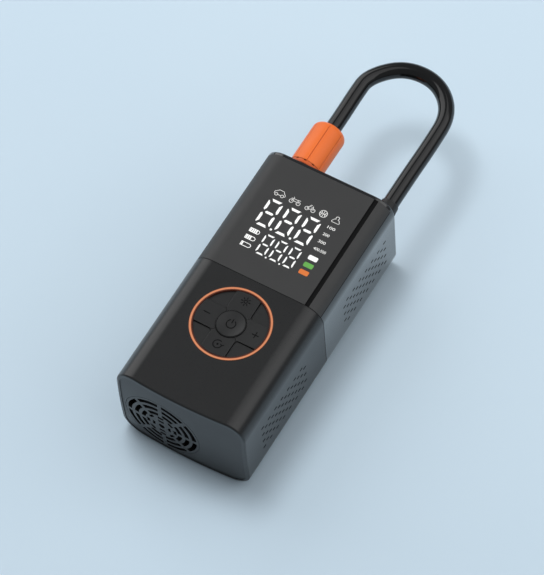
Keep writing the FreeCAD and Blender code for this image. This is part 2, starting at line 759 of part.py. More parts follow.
def draw_arc_slot(sketch, radius, width, gap, sector):
    """A slot along a circle round the sketch's origin, leaving half a spoke at each end of its sector."""
    inner, outer = radius - width / 2, radius + width / 2
    half_gap = gap / 2
    corners = []
    for r in (inner, outer):
        along = root(r * r - half_gap * half_gap)
        corners.append((along, half_gap))
    turn = math.radians(sector)
    ends = []
    for along, across in corners:
        x = along * math.cos(turn) + across * math.sin(turn)
        y = along * math.sin(turn) - across * math.cos(turn)
        ends.append((x, y))
    first = sketch.GeometryCount
    spots = [corners[0], corners[1], ends[1], ends[0]]
    at = [Vector(x.value, y.value, 0) for x, y in spots]

    def arc_between(start, end, arc_radius):
        circle = Part.Circle(Vector(), Vector(0, 0, 1), arc_radius.value)
        return Part.ArcOfCircle(circle, math.atan2(start.y, start.x), math.atan2(end.y, end.x))

    sketch.addGeometry(Part.LineSegment(at[0], at[1]))
    sketch.addGeometry(arc_between(at[1], at[2], outer))
    sketch.addGeometry(Part.LineSegment(at[2], at[3]))
    sketch.addGeometry(arc_between(at[0], at[3], inner))
    for arc in (first + 1, first + 3):
        sketch.addConstraint(Sketcher.Constraint("Coincident", arc, 3, -1, 1))
    for a, a_end, b, b_end in ((0, 2, 1, 1), (1, 2, 2, 1), (2, 2, 3, 2), (3, 1, 0, 1)):
        sketch.addConstraint(Sketcher.Constraint("Coincident", first + a, a_end, first + b, b_end))
    hold(sketch, "Radius", first + 1, to=outer)
    hold(sketch, "Radius", first + 3, to=inner)
    for line, end, spot in ((0, 1, corners[0]), (0, 2, corners[1]), (2, 1, ends[1]), (2, 2, ends[0])):
        hold(sketch, "DistanceY", -1, 1, first + line, end, to=spot[1])


def make_fan_grille():
    """Round grille: rings of curved slots between eight spokes, and a rim that stands on its seat."""
    body = new_body("grille_body")

    def grille_sketch(name, plane=FAN_TIP):
        return new_sketch(body, name, "XZ_Plane", lift=-plane, offset=(FAN_X, FAN_Z))

    def cut_wedges(name, radius, half_depth, half_inner, half_outer, count):
        """Straight-sided slots round the centre, wider away from it."""
        sketch = grille_sketch(name)
        draw_polygon(sketch, [(radius - half_depth, -half_inner), (radius + half_depth, -half_outer),
                              (radius + half_depth, half_outer), (radius - half_depth, half_inner)])
        polar(body, pocket(body, sketch, FAN_CAP_BACK - FAN_TIP), sketch, count)

    disc = grille_sketch("grille_disc", FAN_CAP_TIP)
    draw_circle(disc, 0.0, 0.0, D["grille_radius"])
    pad(body, disc, GRILLE_SEAT - FAN_CAP_TIP, reverse=True)
    hollow = grille_sketch("grille_hollow", FAN_CAP_SHELL)
    draw_circle(hollow, 0.0, 0.0, GRILLE_OPEN)
    pocket(body, hollow, GRILLE_SEAT - FAN_CAP_SHELL)
    slots = grille_sketch("grille_slots")
    for ring in range(3):
        draw_arc_slot(slots, D["grille_outer_slot"] - D["grille_pitch"] * ring, D["grille_slot"],
                      D["grille_spoke"], 45.0)
    polar(body, pocket(body, slots, FAN_CAP_BACK - FAN_TIP), slots, 8)
    small_radius = D["grille_outer_slot"] - D["grille_pitch"] * 2.72
    cut_wedges("grille_small_slots", small_radius, 0.85, 1.5, 1.9, 8)
    cut_wedges("grille_centre_slots", small_radius - D["grille_pitch"] * 0.8, 0.75, 1.3, 2.1, 4)
    eye = grille_sketch("grille_eye")
    draw_circle(eye, 0.0, 0.0, D["grille_eye_radius"])
    pocket(body, eye, FAN_CAP_BACK - FAN_TIP)
    node(common("grille", body, crown("grille_ball")), "fan_grille")


def make_keypad():
    """Orange ring, base with four wedge pockets, five keys, membrane, switches and board."""
    y = D["keypad_y"]
    band = cut("ring_band_cut",
               rod("ring_outer", "Z", D["ring_radius"], INNER_TOP, TOP + D["ring_proud"], 0.0, y),
               rod("ring_inner", "Z", PAD_RADIUS, INNER_TOP - 1.0, TOP + 1.0, 0.0, y))
    node(band, "keypad_ring")

    flange = rod("pad_flange", "Z", D["ring_radius"] + D["pad_flange"], KEY_SEAT, INNER_TOP, 0.0, y)
    deck = rod("pad_deck", "Z", PAD_RADIUS, KEY_SEAT, TOP - D["pocket_depth"], 0.0, y)
    cross = cross_block("pad_cross", D["arm_half_width"] + D["key_gap"], D["arm_corner"] - D["key_gap"],
                       KEY_SEAT - 1.0, TOP)
    window = common("pad_window", cross,
                    rod("pad_window_disc", "Z", ARM_OUTER + D["key_gap"], KEY_SEAT - 1.0, TOP, 0.0, y))
    posts = key_rods("pad_post", D["pad_post_radius"], KEY_BOARD_TOP, KEY_SEAT)
    base = cut("pad_base", fuse("pad_solid", flange, deck), window)
    node(fuse("pad", base, *posts), "keypad_base")

    power = rod("power_stem", "Z", D["power_key_radius"], KEY_FOOT, TOP, 0.0, y)
    dish = key_dish("power_dish", D["power_dish_radius"], D["power_dish_depth"])
    node(cut("power", power, dish), "power_key")

    arms = common("arms", cross_block("arm_cross", D["arm_half_width"], D["arm_corner"], KEY_FOOT, TOP),
                  rod("arm_disc", "Z", ARM_OUTER, KEY_FOOT, TOP, 0.0, y))
    hub = rod("arm_hub", "Z", ARM_INNER, KEY_FOOT - 1.0, TOP + 1.0, 0.0, y)
    hollow = key_dish("arm_dish", D["key_dish_radius"], D["key_dish_depth"])
    blank = cut("arms_blank", arms, hub, hollow)
    arms_of_cross = (("light_key", 0, 1), ("mode_key", 0, -1), ("minus_key", -1, 0), ("plus_key", 1, 0))
    for label, dx, dy in arms_of_cross:
        make_arm_key(label, dx, dy, blank)

    sheet_radius = D["ring_radius"] - 0.5
    sheet = rod("membrane_sheet", "Z", sheet_radius, MEMBRANE_LOW, MEMBRANE_TOP, 0.0, y)
    clear = key_rods("membrane_hole", D["pad_post_radius"] + D["pad_post_gap"], MEMBRANE_LOW - 1.0,
                     MEMBRANE_TOP + 1.0)
    node(cut("membrane", sheet, *clear), "key_membrane")

    half, spot = D["switch_half"], D["switch_spot"]
    switches = []
    for i, (sx, sy) in enumerate(((0, 0), (0, 1), (0, -1), (-1, 0), (1, 0))):
        x = spot * sx
        switches.append(box(f"switch_{i}", x - half, x + half, y + spot * sy - half, y + spot * sy + half,
                            KEY_BOARD_TOP, MEMBRANE_LOW))
    node(group("switches", *switches), "key_switches")
    node(rod("key_board_disc", "Z", sheet_radius, KEY_BOARD_LOW, KEY_BOARD_TOP, 0.0, y), "key_board")


def cross_block(name, half, corner, low, high):
    """A block with the outline of the four arms, its inner corners round."""
    body = new_body(f"{name}_body")
    sketch = new_sketch(body, f"{name}_outline", "XY_Plane", lift=low, offset=(0.0, D["keypad_y"]))
    reach = D["ring_radius"] + 2.0
    nook = half + corner
    up = Vector(0, 0, 1)
    for quarter in range(4):
        c, s = ((1, 0), (0, 1), (-1, 0), (0, -1))[quarter]

        def turned(u, v, c=c, s=s):
            return (u * c - v * s, u * s + v * c)

        spots = [turned(reach, -half), turned(reach, half), turned(nook, half), turned(half, nook),
                 turned(half, reach)]
        at = [Vector(x.value, y.value, 0) for x, y in spots]
        centre_x, centre_y = turned(nook, nook)
        circle = Part.Circle(Vector(centre_x.value, centre_y.value, 0), up, corner.value)
        first = sketch.GeometryCount
        sketch.addGeometry(Part.LineSegment(at[0], at[1]))
        sketch.addGeometry(Part.LineSegment(at[1], at[2]))
        start = math.pi * (1 + quarter / 2)
        sketch.addGeometry(Part.ArcOfCircle(circle, start, start + math.pi / 2))
        sketch.addGeometry(Part.LineSegment(at[3], at[4]))
        sketch.addConstraint(Sketcher.Constraint("Coincident", first, 2, first + 1, 1))
        sketch.addConstraint(Sketcher.Constraint("Coincident", first + 1, 2, first + 2, 2))
        sketch.addConstraint(Sketcher.Constraint("Coincident", first + 2, 1, first + 3, 1))
        hold(sketch, "Radius", first + 2, to=corner)
        for line, end, (x, y) in ((0, 1, spots[0]), (1, 1, spots[1]), (1, 2, spots[2]), (3, 1, spots[3])):
            hold(sketch, "DistanceX", -1, 1, first + line, end, to=x)
            hold(sketch, "DistanceY", -1, 1, first + line, end, to=y)
    for quarter in range(4):
        end, following = 4 * quarter + 3, (4 * quarter + 4) % 16
        sketch.addConstraint(Sketcher.Constraint("Coincident", end, 2, following, 1))
    pad(body, sketch, high - low)
    return body


def key_rods(name, radius, low, high):
    """Four upright cylinders, one under each wedge pocket."""
    spot = D["pad_post_spot"]
    return [rod(f"{name}_{i}", "Z", radius, low, high, spot * sx, D["keypad_y"] + spot * sy)
            for i, (sx, sy) in enumerate(((-1, -1), (1, -1), (1, 1), (-1, 1)))]


def key_dish(name, radius, depth):
    """A ball that hollows the key tops to a depth at the keypad's centre."""
    ball = DOC.addObject("Part::Sphere", name)
    bind(ball, "Radius", radius)
    place(ball, 0.0, D["keypad_y"], TOP + radius - depth)
    return ball


def make_arm_key(label, dx, dy, blank):
    """One arm of the cross, parted from its neighbours along the diagonals."""
    apart = D["key_gap"] / 2 * math.sqrt(2)
    reach = D["ring_radius"] + 2.0
    body = new_body(f"{label}_body")
    sketch = new_sketch(body, f"{label}_sector", "XY_Plane", lift=KEY_FOOT - 1.0,
                        offset=(0.0, D["keypad_y"]))
    sector = [(size(0.0), apart), (reach, reach + apart), (-reach, reach + apart)]
    draw_polygon(sketch, [(u * dy + v * dx, v * dy - u * dx) for u, v in sector])
    pad(body, sketch, TOP - KEY_FOOT + 2.0)
    node(common(f"{label}_kept", blank, body), label)


def make_display():
    """Segment display block behind the panel, and its board."""
    half, low, high = D["display_half_width"], D["display_low_y"], D["display_high_y"]
    node(box("segment_block", -half, half, low, high, DISPLAY_LOW, INNER_TOP), "segment_display")
    board = box("display_plate", -half - 1.5, half + 1.5, low - 4.0, high + 4.0,
                DISPLAY_LOW - D["board_thickness"], DISPLAY_LOW)
    node(board, "display_board")


def make_motor():
    """Can with magnets, end bell, wound armature, shaft and the screws that hold it."""
    x, z = FAN_X, FAN_Z
    front, wall = MOTOR_FRONT, D["motor_wall"]
    bell_front = MOTOR_BACK + 2.3
    shaft_hole = D["shaft_radius"] + D["running_gap"]
    inner = D["motor_radius"] - wall
    screw_radius = D["motor_screw_radius"]
    screw_x = [x + D["motor_screw_spot"] * side for side in (-1, 1)]
    outside = fuse("can_outside", rod("can_drum", "Y", D["motor_radius"], bell_front, front, x, z),
                   rod("can_boss", "Y", D["motor_boss_radius"] - D["running_gap"], front,
                       front + D["bracket_thickness"] * 0.8, x, z))
    hollow = rod("can_hollow", "Y", inner, bell_front - 1.0, front - wall, x, z)
    hole = rod("can_shaft_hole", "Y", shaft_hole, front - wall - 1.0, front + D["bracket_thickness"], x, z)
    screw_holes = [rod(f"can_screw_hole_{i}", "Y", screw_radius, front - wall - 1.0, front + 1.0, spot, z)
                   for i, spot in enumerate(screw_x)]
    node(cut("can", outside, hollow, hole, *screw_holes), "motor_can")

    bell = cut("bell", rod("bell_disc", "Y", D["motor_radius"], MOTOR_BACK, bell_front, x, z),
               rod("bell_hole", "Y", shaft_hole, MOTOR_BACK - 1.0, bell_front + 1.0, x, z))
    node(bell, "motor_end_bell")

    ring = cut("magnet_ring", rod("magnet_outer", "Y", inner, bell_front + 4.0, front - 5.0, x, z),
               rod("magnet_inner", "Y", inner - 2.4, bell_front + 3.0, front - 4.0, x, z))
    gap = box("magnet_gap", x - D["motor_radius"], x + D["motor_radius"], bell_front + 3.0, front - 4.0,
              z - 4.5, z + 4.5)
    node(cut("magnets", ring, gap), "motor_magnets")

    stack_low, stack_high = bell_front + 7.5, front - 6.5
    stack = rod("stack", "Y", inner - 2.9, stack_low, stack_high, x, z)
    slots = []
    for i in range(5):
        angle = math.radians(72 * i + 90)
        slots.append(rod(f"stack_slot_{i}", "Y", 2.2, stack_low - 1.0, stack_high + 1.0,
                         x + math.cos(angle) * 8.6, z + math.sin(angle) * 8.6))
    winding = rod("winding", "Y", 7.6, stack_low - 2.2, stack_high + 2.2, x, z)
    commutator = rod("commutator", "Y", 3.4, bell_front + 1.0, stack_low - 2.2, x, z)
    bore = rod("stack_bore", "Y", D["shaft_radius"], bell_front, front, x, z)
    rotor = fuse("rotor_solid", cut("stack_cut", stack, *slots), winding, commutator)
    node(cut("rotor", rotor, bore), "motor_armature")

    node(rod("shaft", "Y", D["shaft_radius"], FAN_FRONT, GEAR_HIGH, x, z), "motor_shaft")

    screws = []
    for i, spot in enumerate(screw_x):
        stem = rod(f"motor_screw_stem_{i}", "Y", screw_radius, front - wall, BRACKET_BACK, spot, z)
        head = rod(f"motor_screw_head_{i}", "Y", screw_radius + 0.9, BRACKET_BACK, BRACKET_BACK + 0.5,
                   spot, z)
        screws.append(fuse(f"motor_screw_{i}", stem, head))
    node(group("motor_screw_pair", *screws), "motor_screws")


def make_cooling_fan():
    """Hub with twisted blades, each lofted from a steep root to a flatter tip."""
    hub_r, tip_r = D["fan_hub_radius"].value, D["fan_radius"].value
    depth, low = D["fan_depth"].value, FAN_FRONT.value
    mid = low + depth / 2

    def blade_section(radius, chord, pitch):
        """A thin parallelogram across the blade, standing at a radius."""
        angle = math.radians(pitch)
        along = Vector(math.sin(angle), math.cos(angle), 0) * (chord / 2)
        across = Vector(math.cos(angle), -math.sin(angle), 0) * 0.6
        centre = Vector(0, mid, radius)
        ring = [centre + along + across, centre + along - across,
                centre - along - across, centre - along + across]
        return Part.makePolygon(ring + ring[:1])

    blade = Part.makeLoft([blade_section(hub_r - 1.0, 6.2, 28), blade_section((hub_r + tip_r) / 2, 7.0, 42),
                           blade_section(tip_r, 7.4, 52)], True, True)
    along = Vector(0, 1, 0)
    hub = Part.makeCylinder(hub_r, depth, Vector(0, low, 0), along)
    copies = []
    for i in range(FAN_BLADES):
        turned = blade.copy()
        turned.rotate(Vector(), along, 360.0 * i / FAN_BLADES)
        copies.append(turned)
    solid = hub.multiFuse(copies)
    solid = solid.cut(Part.makeCylinder(D["shaft_radius"].value, depth + 2, Vector(0, low - 1, 0), along))
    wheel = shape_object("fan_wheel", solid.removeSplitter())
    place(wheel, FAN_X, 0.0, FAN_Z)
    node(wheel, "cooling_fan")


def involute_point(base, angle):
    """A point of the involute of a base circle."""
    c, s = math.cos(angle), math.sin(angle)
    return (base * (c + angle * s), base * (s - angle * c))


def gear_outline(module, teeth, phase, backlash=0.05):
    """Points round a spur gear with involute flanks of two straight runs each."""
    pitch_r = module * teeth / 2
    base_r = pitch_r * math.cos(PRESSURE_ANGLE)
    tip_r = pitch_r + 0.85 * module
    root_r = pitch_r - 1.1 * module
    start_r = max(base_r, root_r)
    flat = math.tan(PRESSURE_ANGLE) - PRESSURE_ANGLE
    half_tooth = math.pi / (2 * teeth) - backlash / (2 * pitch_r)
    flank = []
    for i in range(3):
        radius = start_r + (tip_r - start_r) * i / 2
        roll = math.sqrt(max((radius / base_r) ** 2 - 1.0, 0.0))
        x, y = involute_point(base_r, roll)
        flank.append((radius, half_tooth + flat - math.atan2(y, x)))
    points = []
    for tooth in range(teeth):
        middle = phase + 2 * math.pi * tooth / teeth
        edge = [(root_r, flank[0][1])] if root_r < start_r else []
        rising = [(r, middle - a) for r, a in edge + flank]
        falling = [(r, middle + a) for r, a in reversed(edge + flank)]
        points += [(r * math.cos(a), r * math.sin(a)) for r, a in rising + falling]
    return points


def gear_solid(points, low, high):
    """Extrude a gear outline along Y between two stations."""
    ring = [Vector(x, low, z) for x, z in points]
    face = Part.Face(Part.makePolygon(ring + ring[:1]))
    return face.extrude(Vector(0, high - low, 0))


def make_gears():
    """Pinion on the motor shaft, crank gear on its axle, and the crank pin."""
    module = D["gear_module"].value
    low, high = GEAR_LOW.value, GEAR_HIGH.value
    line = math.atan2(PUMP_Z.value - FAN_Z.value, PUMP_X.value - FAN_X.value)
    along = Vector(0, 1, 0)

    pinion = gear_solid(gear_outline(module, PINION_TEETH, line), low, high)
    pinion = pinion.cut(Part.makeCylinder(D["shaft_radius"].value, high - low, Vector(0, low, 0), along))
    pinion_object = shape_object("pinion_wheel", pinion)
    place(pinion_object, FAN_X, 0.0, FAN_Z)
    node(pinion_object, "pinion")

    half_pitch = math.pi / GEAR_TEETH
    wheel = gear_solid(gear_outline(module, GEAR_TEETH, line + math.pi + half_pitch), low, high)
    disc_radius, disc_depth = D["crank_disc_radius"].value, D["crank_disc_thickness"].value
    wheel = wheel.fuse(Part.makeCylinder(disc_radius, disc_depth, Vector(0, high, 0), along))
    bore = D["axle_radius"].value + D["running_gap"].value
    wheel = wheel.cut(Part.makeCylinder(bore, DISC_HIGH.value - low, Vector(0, low, 0), along))
    light_r = (disc_radius + PITCH_GEAR.value - 1.5) / 2
    for i in range(6):
        angle = math.radians(60 * i + 30)
        spot = Vector(light_r * math.cos(angle), low, light_r * math.sin(angle))
        wheel = wheel.cut(Part.makeCylinder(1.9, high - low, spot, along))
    pin_spot = Vector(0, low + 1.0, -THROW.value)
    pin_radius = D["crank_pin_radius"].value
    wheel = wheel.cut(Part.makeCylinder(pin_radius, DISC_HIGH.value - low, pin_spot, along))
    wheel_object = shape_object("crank_wheel", wheel.removeSplitter())
    place(wheel_object, PUMP_X, 0.0, PUMP_Z)
    node(wheel_object, "crank_gear")
    node(rod("pin", "Y", D["crank_pin_radius"], GEAR_LOW + 1.0, PIN_TIP, PUMP_X, BIG_EYE_Z), "crank_pin")

    axle = rod("axle_stem", "Y", D["axle_radius"], MOTOR_FRONT, DISC_HIGH + 0.2, PUMP_X, PUMP_Z)
    head = rod("axle_head", "Y", D["axle_radius"] + 0.8, DISC_HIGH + 0.2, DISC_HIGH + 0.9, PUMP_X, PUMP_Z)
    node(fuse("axle", axle, head), "gear_axle")


def make_bracket():
    """Cast bracket: plate for the motor and axle, a shelf for the cylinder, two ribs and a foot."""
    front = MOTOR_FRONT
    x, z = FAN_X, FAN_Z
    left = -FLOOR_HALF
    right = PUMP_X + GEAR_OUTER + D["shelf_gap"]
    top = SHELF_HIGH + 7.5
    shelf_left, shelf_right = PUMP_X - D["fin_radius"] - 2.0, PUMP_X + D["fin_radius"] + 2.0
    shelf_end = PUMP_Y + D["fin_radius"]

    body = new_body("bracket_body")
    plate = new_sketch(body, "bracket_plate", "XZ_Plane", lift=-front)
    draw_rounded(plate, left, right, WALL, top, 3.0)
    draw_circle(plate, x, z, D["motor_boss_radius"])
    for side in (-1, 1):
        draw_circle(plate, x + D["motor_screw_spot"] * side, z, D["motor_screw_radius"])
    draw_circle(plate, PUMP_X, PUMP_Z, D["axle_radius"])
    pad(body, plate, D["bracket_thickness"], reverse=True)
    shelf = new_sketch(body, "bracket_shelf", "XY_Plane", lift=SHELF_LOW)
    draw_polygon(shelf, [(shelf_left, front), (shelf_right, front), (shelf_right, shelf_end),
                         (shelf_left, shelf_end)])
    draw_circle(shelf, PUMP_X, PUMP_Y, BARREL_RADIUS)
    pad(body, shelf, D["bracket_thickness"])
    for i, edge in enumerate((shelf_left, shelf_right - 1.6)):
        rib = new_sketch(body, f"bracket_rib_{i}", "YZ_Plane", lift=edge)
        rib_foot = SHELF_HIGH - 0.5
        draw_polygon(rib, [(front, rib_foot), (shelf_end - 4.0, rib_foot), (front, top - 1.0)])
        pad(body, rib, 1.6)
    foot = new_sketch(body, "bracket_foot", "XY_Plane", lift=WALL)
    toe = front - 5.0
    draw_polygon(foot, [(left, toe), (right, toe), (right, BRACKET_BACK), (left, BRACKET_BACK)])
    pad(body, foot, 2.5)
    node(body, "gearbox_bracket")


def make_pump():
    """Connecting rod, wrist pin, piston with its seal, finned cylinder, gasket, valve, head and screws."""
    x, y = PUMP_X, PUMP_Y
    small, big = D["rod_small_eye"], D["rod_big_eye"]
    wrist_bore = D["axle_radius"] + D["running_gap"]
    web = box("rod_web", x - D["rod_width"] / 2, x + D["rod_width"] / 2, ROD_LOW, ROD_HIGH,
              BIG_EYE_Z + big - 1.0, WRIST_Z - small + 1.0)
    solid = fuse("rod_solid", web, rod("rod_small", "Y", small, ROD_LOW, ROD_HIGH, x, WRIST_Z),
                 rod("rod_big", "Y", big, ROD_LOW, ROD_HIGH, x, BIG_EYE_Z))
    relief = [box(f"rod_relief_{i}", x - D["rod_width"] / 2 + 0.7, x + D["rod_width"] / 2 - 0.7,
                  face - 1.0, face + 1.0, BIG_EYE_Z + big + 0.4, WRIST_Z - small - 0.4)
              for i, face in enumerate((ROD_LOW, ROD_HIGH))]
    pin_bore = D["crank_pin_radius"] + D["running_gap"]
    holes = [rod("rod_small_bore", "Y", wrist_bore, ROD_LOW - 1.0, ROD_HIGH + 1.0, x, WRIST_Z),
             rod("rod_big_bore", "Y", pin_bore, ROD_LOW - 1.0, ROD_HIGH + 1.0, x, BIG_EYE_Z)]
    node(cut("rod_cut", solid, *relief, *holes), "connecting_rod")

    piston_radius = D["bore_radius"] - D["piston_gap"]
    pin_half = piston_radius - 0.9
    node(rod("wrist", "Y", D["axle_radius"], y - pin_half, y + pin_half, x, WRIST_Z), "wrist_pin")

    skirt_low, crown_top = WRIST_Z - D["piston_skirt"], WRIST_Z + D["piston_crown"]
    groove_low = WRIST_Z + 3.0
    groove_high = groove_low + D["seal_height"]
    seal_inner = piston_radius - D["seal_depth"]
    blank = rod("piston_blank", "Z", piston_radius, skirt_low, crown_top, x, y)
    slot_half = D["rod_thickness"] / 2 + D["piston_slot_gap"]
    slot = box("piston_slot", x - small - 0.7, x + small + 0.7, y - slot_half, y + slot_half,
               skirt_low - 1.0, WRIST_Z + small + D["piston_slot_gap"])
    bore = rod("piston_bore", "Y", D["axle_radius"], y - pin_half, y + pin_half, x, WRIST_Z)
    groove = cut("piston_groove",
                 rod("groove_outer", "Z", D["bore_radius"] + 1.0, groove_low, groove_high, x, y),
                 rod("groove_inner", "Z", seal_inner, groove_low, groove_high, x, y))
    node(cut("piston_cut", blank, slot, bore, groove), "piston")
    seal_outer = D["bore_radius"] - D["seal_gap"]
    ring = cut("seal_ring", rod("seal_outer", "Z", seal_outer, groove_low, groove_high, x, y),
               rod("seal_inner", "Z", seal_inner, groove_low - 1.0, groove_high + 1.0, x, y))
    node(ring, "piston_seal")

    barrel = [rod("barrel_tube", "Z", BARREL_RADIUS, SHELF_LOW, BORE_TOP, x, y)]
    fin_low = SHELF_HIGH
    fins = int((BORE_TOP.value - SHELF_HIGH.value - 1.6) / D["fin_pitch"].value) + 1
    for i in range(fins):
        low = fin_low + D["fin_pitch"] * i
        barrel.append(rod(f"barrel_fin_{i}", "Z", D["fin_radius"], low, low + D["fin_thickness"], x, y))
    barrel.append(rod("barrel_flange", "Z", D["fin_radius"], BORE_TOP - 1.6, BORE_TOP, x, y))
    screw_reach = D["head_screw_circle"] * math.cos(math.radians(45))
    screw_spots = [(x + screw_reach * sx, y + screw_reach * sy)
                   for sx, sy in ((1, 1), (-1, 1), (-1, -1), (1, -1))]
    screw_low = BORE_TOP - 1.6

    def screw_holes(name, low, high):
        return [rod(f"{name}_{i}", "Z", D["head_screw_radius"], low, high, sx, sy)
                for i, (sx, sy) in enumerate(screw_spots)]

    node(cut("barrel_bored", fuse("barrel", *barrel),
             rod("barrel_bore", "Z", D["bore_radius"], SHELF_LOW - 1.0, BORE_TOP + 1.0, x, y),
             *screw_holes("barrel_screw", screw_low, BORE_TOP + 1.0)), "cylinder")
    node(cut("gasket", rod("gasket_disc", "Z", D["fin_radius"], BORE_TOP, HEAD_LOW, x, y),
             rod("gasket_hole", "Z", D["bore_radius"], BORE_TOP - 1.0, HEAD_LOW + 1.0, x, y),
             *screw_holes("gasket_screw", BORE_TOP - 1.0, HEAD_LOW + 1.0)), "head_gasket")

    valve_radius = D["bore_radius"] - 2.3
    recess_top = HEAD_LOW + 0.8
    nipple_end = y + D["fin_radius"] + 6.0
    dome = fuse("head_solid", rod("head_disc", "Z", D["fin_radius"], HEAD_LOW, HEAD_HIGH, x, y),
                rod("head_nipple", "Y", D["nipple_radius"], y, nipple_end, x, HOSE_Z))
    node(cut("head_cut", dome,
             rod("head_recess", "Z", valve_radius + 0.2, HEAD_LOW - 1.0, recess_top, x, y),
             rod("head_outlet", "Y", 0.8, y, nipple_end + 1.0, x, HOSE_Z),
             rod("head_port", "Z", 0.8, recess_top - 0.5, HOSE_Z, x, y),
             *screw_holes("head_screw_hole", HEAD_LOW - 1.0, HEAD_HIGH + 1.0)), "cylinder_head")
    node(rod("reed", "Z", valve_radius, recess_top - 0.3, recess_top, x, y), "reed_valve")

    screws = []
    stem_radius, screw_top = D["head_screw_radius"], HEAD_HIGH + D["screw_top_height"]
    for i, (sx, sy) in enumerate(screw_spots):
        stem = rod(f"head_screw_stem_{i}", "Z", stem_radius, screw_low, HEAD_HIGH, sx, sy)
        top = rod(f"head_screw_top_{i}", "Z", stem_radius + 0.8, HEAD_HIGH, screw_top, sx, sy)
        screws.append(fuse(f"head_screw_solid_{i}", stem, top))
    node(group("head_screw_set", *screws), "head_screws")


def round_path(points, share=0.45, radius=None):
    """Wire of straight runs joined by tangent arcs; prints the arcs' radii."""
    edges, radii = [], []
    here = points[0]
    for before, corner, after in zip(points, points[1:], points[2:]):
        into, out = corner - before, after - corner
        half = into.getAngle(out) / 2
        reach = share * min(into.Length, out.Length) if radius is None else radius * math.tan(half)
        arc_radius = reach / math.tan(half)
        radii.append(round(arc_radius, 1))
        into.normalize()
        out.normalize()
        start, end = corner - into * reach, corner + out * reach
        inward = out - into
        inward.normalize()
        mid = corner + inward * (arc_radius / math.cos(half) - arc_radius)
        edges.append(Part.LineSegment(here, start).toShape())
        edges.append(Part.Arc(start, mid, end).toShape())
        here = end
    edges.append(Part.LineSegment(here, points[-1]).toShape())
    return Part.Wire(edges), radii


def swept_tube(name, points, outer, inner=None, **arcs):
    """A round tube along a path, checked by its volume."""
    path, radii = round_path(points, **arcs)
    direction = points[1] - points[0]

    def sweep(radius):
        ring = Part.Wire(Part.Circle(points[0], direction, radius).toShape())
        return path.makePipeShell([ring], True, False)

    solid = sweep(outer)
    expected = math.pi * outer * outer * path.Length
    print(name, "length", round(path.Length, 1), "radii", radii,
          "volume over section times length", round(solid.Volume / expected, 4))
    if inner is not None:
        solid = solid.cut(sweep(inner))
    return solid


def make_delivery_tube():
    """Silicone tube from the head's nipple to the hose fitting."""
    z = HOSE_Z.value
    start = PUMP_Y.value + D["fin_radius"].value + 0.3
    end = CAP_INNER.value - 8.0
    x0, x1 = PUMP_X.value, HOSE_X.value
    lead = 12.0
    spots = ((x0, start), (x0, start + lead), (x1, end - lead), (x1, end))
    points = [Vector(x, y, z) for x, y in spots]
    tube = swept_tube("delivery tube", points, D["tube_radius"].value, D["nipple_radius"].value, radius=lead)
    node(shape_object("delivery", tube), "delivery_tube")


def make_battery():
    """Three cells in a tray, their end tabs, and the main board on the tray's end walls."""
    tray_half = D["cell_pitch"] + D["cell_radius"] - 2.0
    tray_top = BOARD_LOW
    floor = box("tray_floor", -FLOOR_HALF, FLOOR_HALF, TRAY_LOW_Y, CAP_INNER, WALL, WALL + D["tray_wall"])
    wall = D["tray_wall"]
    walls = [box(f"tray_wall_{i}", -FLOOR_HALF, FLOOR_HALF, low, low + wall, WALL, tray_top)
             for i, low in enumerate((TRAY_LOW_Y, CAP_INNER - wall))]
    saddles = []
    for i, share in enumerate((0.2, 0.8)):
        y = CELL_LOW_Y + D["cell_length"] * share
        saddles.append(box(f"tray_saddle_{i}", -tray_half, tray_half, y - 1.5, y + 1.5,
                           WALL + D["tray_wall"] - 0.4, WALL + 6.5))
    spots = [D["cell_pitch"] * i for i in (-1, 0, 1)]
    cell_radius, cell_high = D["cell_radius"], CELL_LOW_Y + D["cell_length"]
    beds = [rod(f"tray_bed_{i}", "Y", cell_radius, CELL_LOW_Y, cell_high, spot, CELL_Z)
            for i, spot in enumerate(spots)]
    seats = cut("tray_seats", fuse("tray_saddles", *saddles), *beds)
    inside = box("tray_limits", -FLOOR_HALF - 1.5, FLOOR_HALF + 1.5, TRAY_LOW_Y, CAP_INNER, WALL, tray_top)
    node(common("tray", fuse("tray_solid", floor, *walls, seats), inside), "battery_tray")
    for i, spot in enumerate(spots, start=1):
        cell = rod(f"cell_{i}", "Y", cell_radius, CELL_LOW_Y, cell_high, spot, CELL_Z)
        node(cell, f"battery_cell_{i}")
    reach = D["cell_pitch"] + 4.0
    tabs = [box(f"tab_{i}", -reach, reach, low, low + D["tab_thickness"], CELL_Z - 3.5, CELL_Z + 3.5)
            for i, low in enumerate((TRAY_LOW_Y + wall, cell_high))]
    node(group("tabs", *tabs), "cell_tabs")

    board = BOARD_LOW
    node(box("main_plate", -FLOOR_HALF, FLOOR_HALF, TRAY_LOW_Y, CAP_INNER, board, BOARD_TOP), "main_board")
    parts = [
        rod("inductor", "Z", 6.0, BOARD_TOP, BOARD_TOP + 6.5, -14.0, 26.0),
        rod("capacitor_1", "Z", 4.0, BOARD_TOP, BOARD_TOP + 11.0, 4.0, 20.0),
        rod("capacitor_2", "Z", 4.0, BOARD_TOP, BOARD_TOP + 11.0, 15.0, 20.0),
        box("controller", -8.0, 4.0, 38.0, 50.0, BOARD_TOP, BOARD_TOP + 1.6),
        box("transistor", 14.0, 20.5, 30.0, 40.0, BOARD_TOP, BOARD_TOP + 2.3),
    ]
    node(group("board_components", *parts), "board_parts")
    sensor_x, sensor_y, half = D["sensor_inset"] - FLOOR_HALF, 48.0, 4.0
    block = box("sensor_block", sensor_x - half, sensor_x + half, sensor_y - half, sensor_y + half,
                BOARD_TOP, BOARD_TOP + 4.0)
    sensor = fuse("sensor", block,
                  rod("sensor_port", "Z", 1.4, BOARD_TOP + 3.5, BOARD_TOP + 8.5, sensor_x, sensor_y))
    node(sensor, "pressure_sensor")


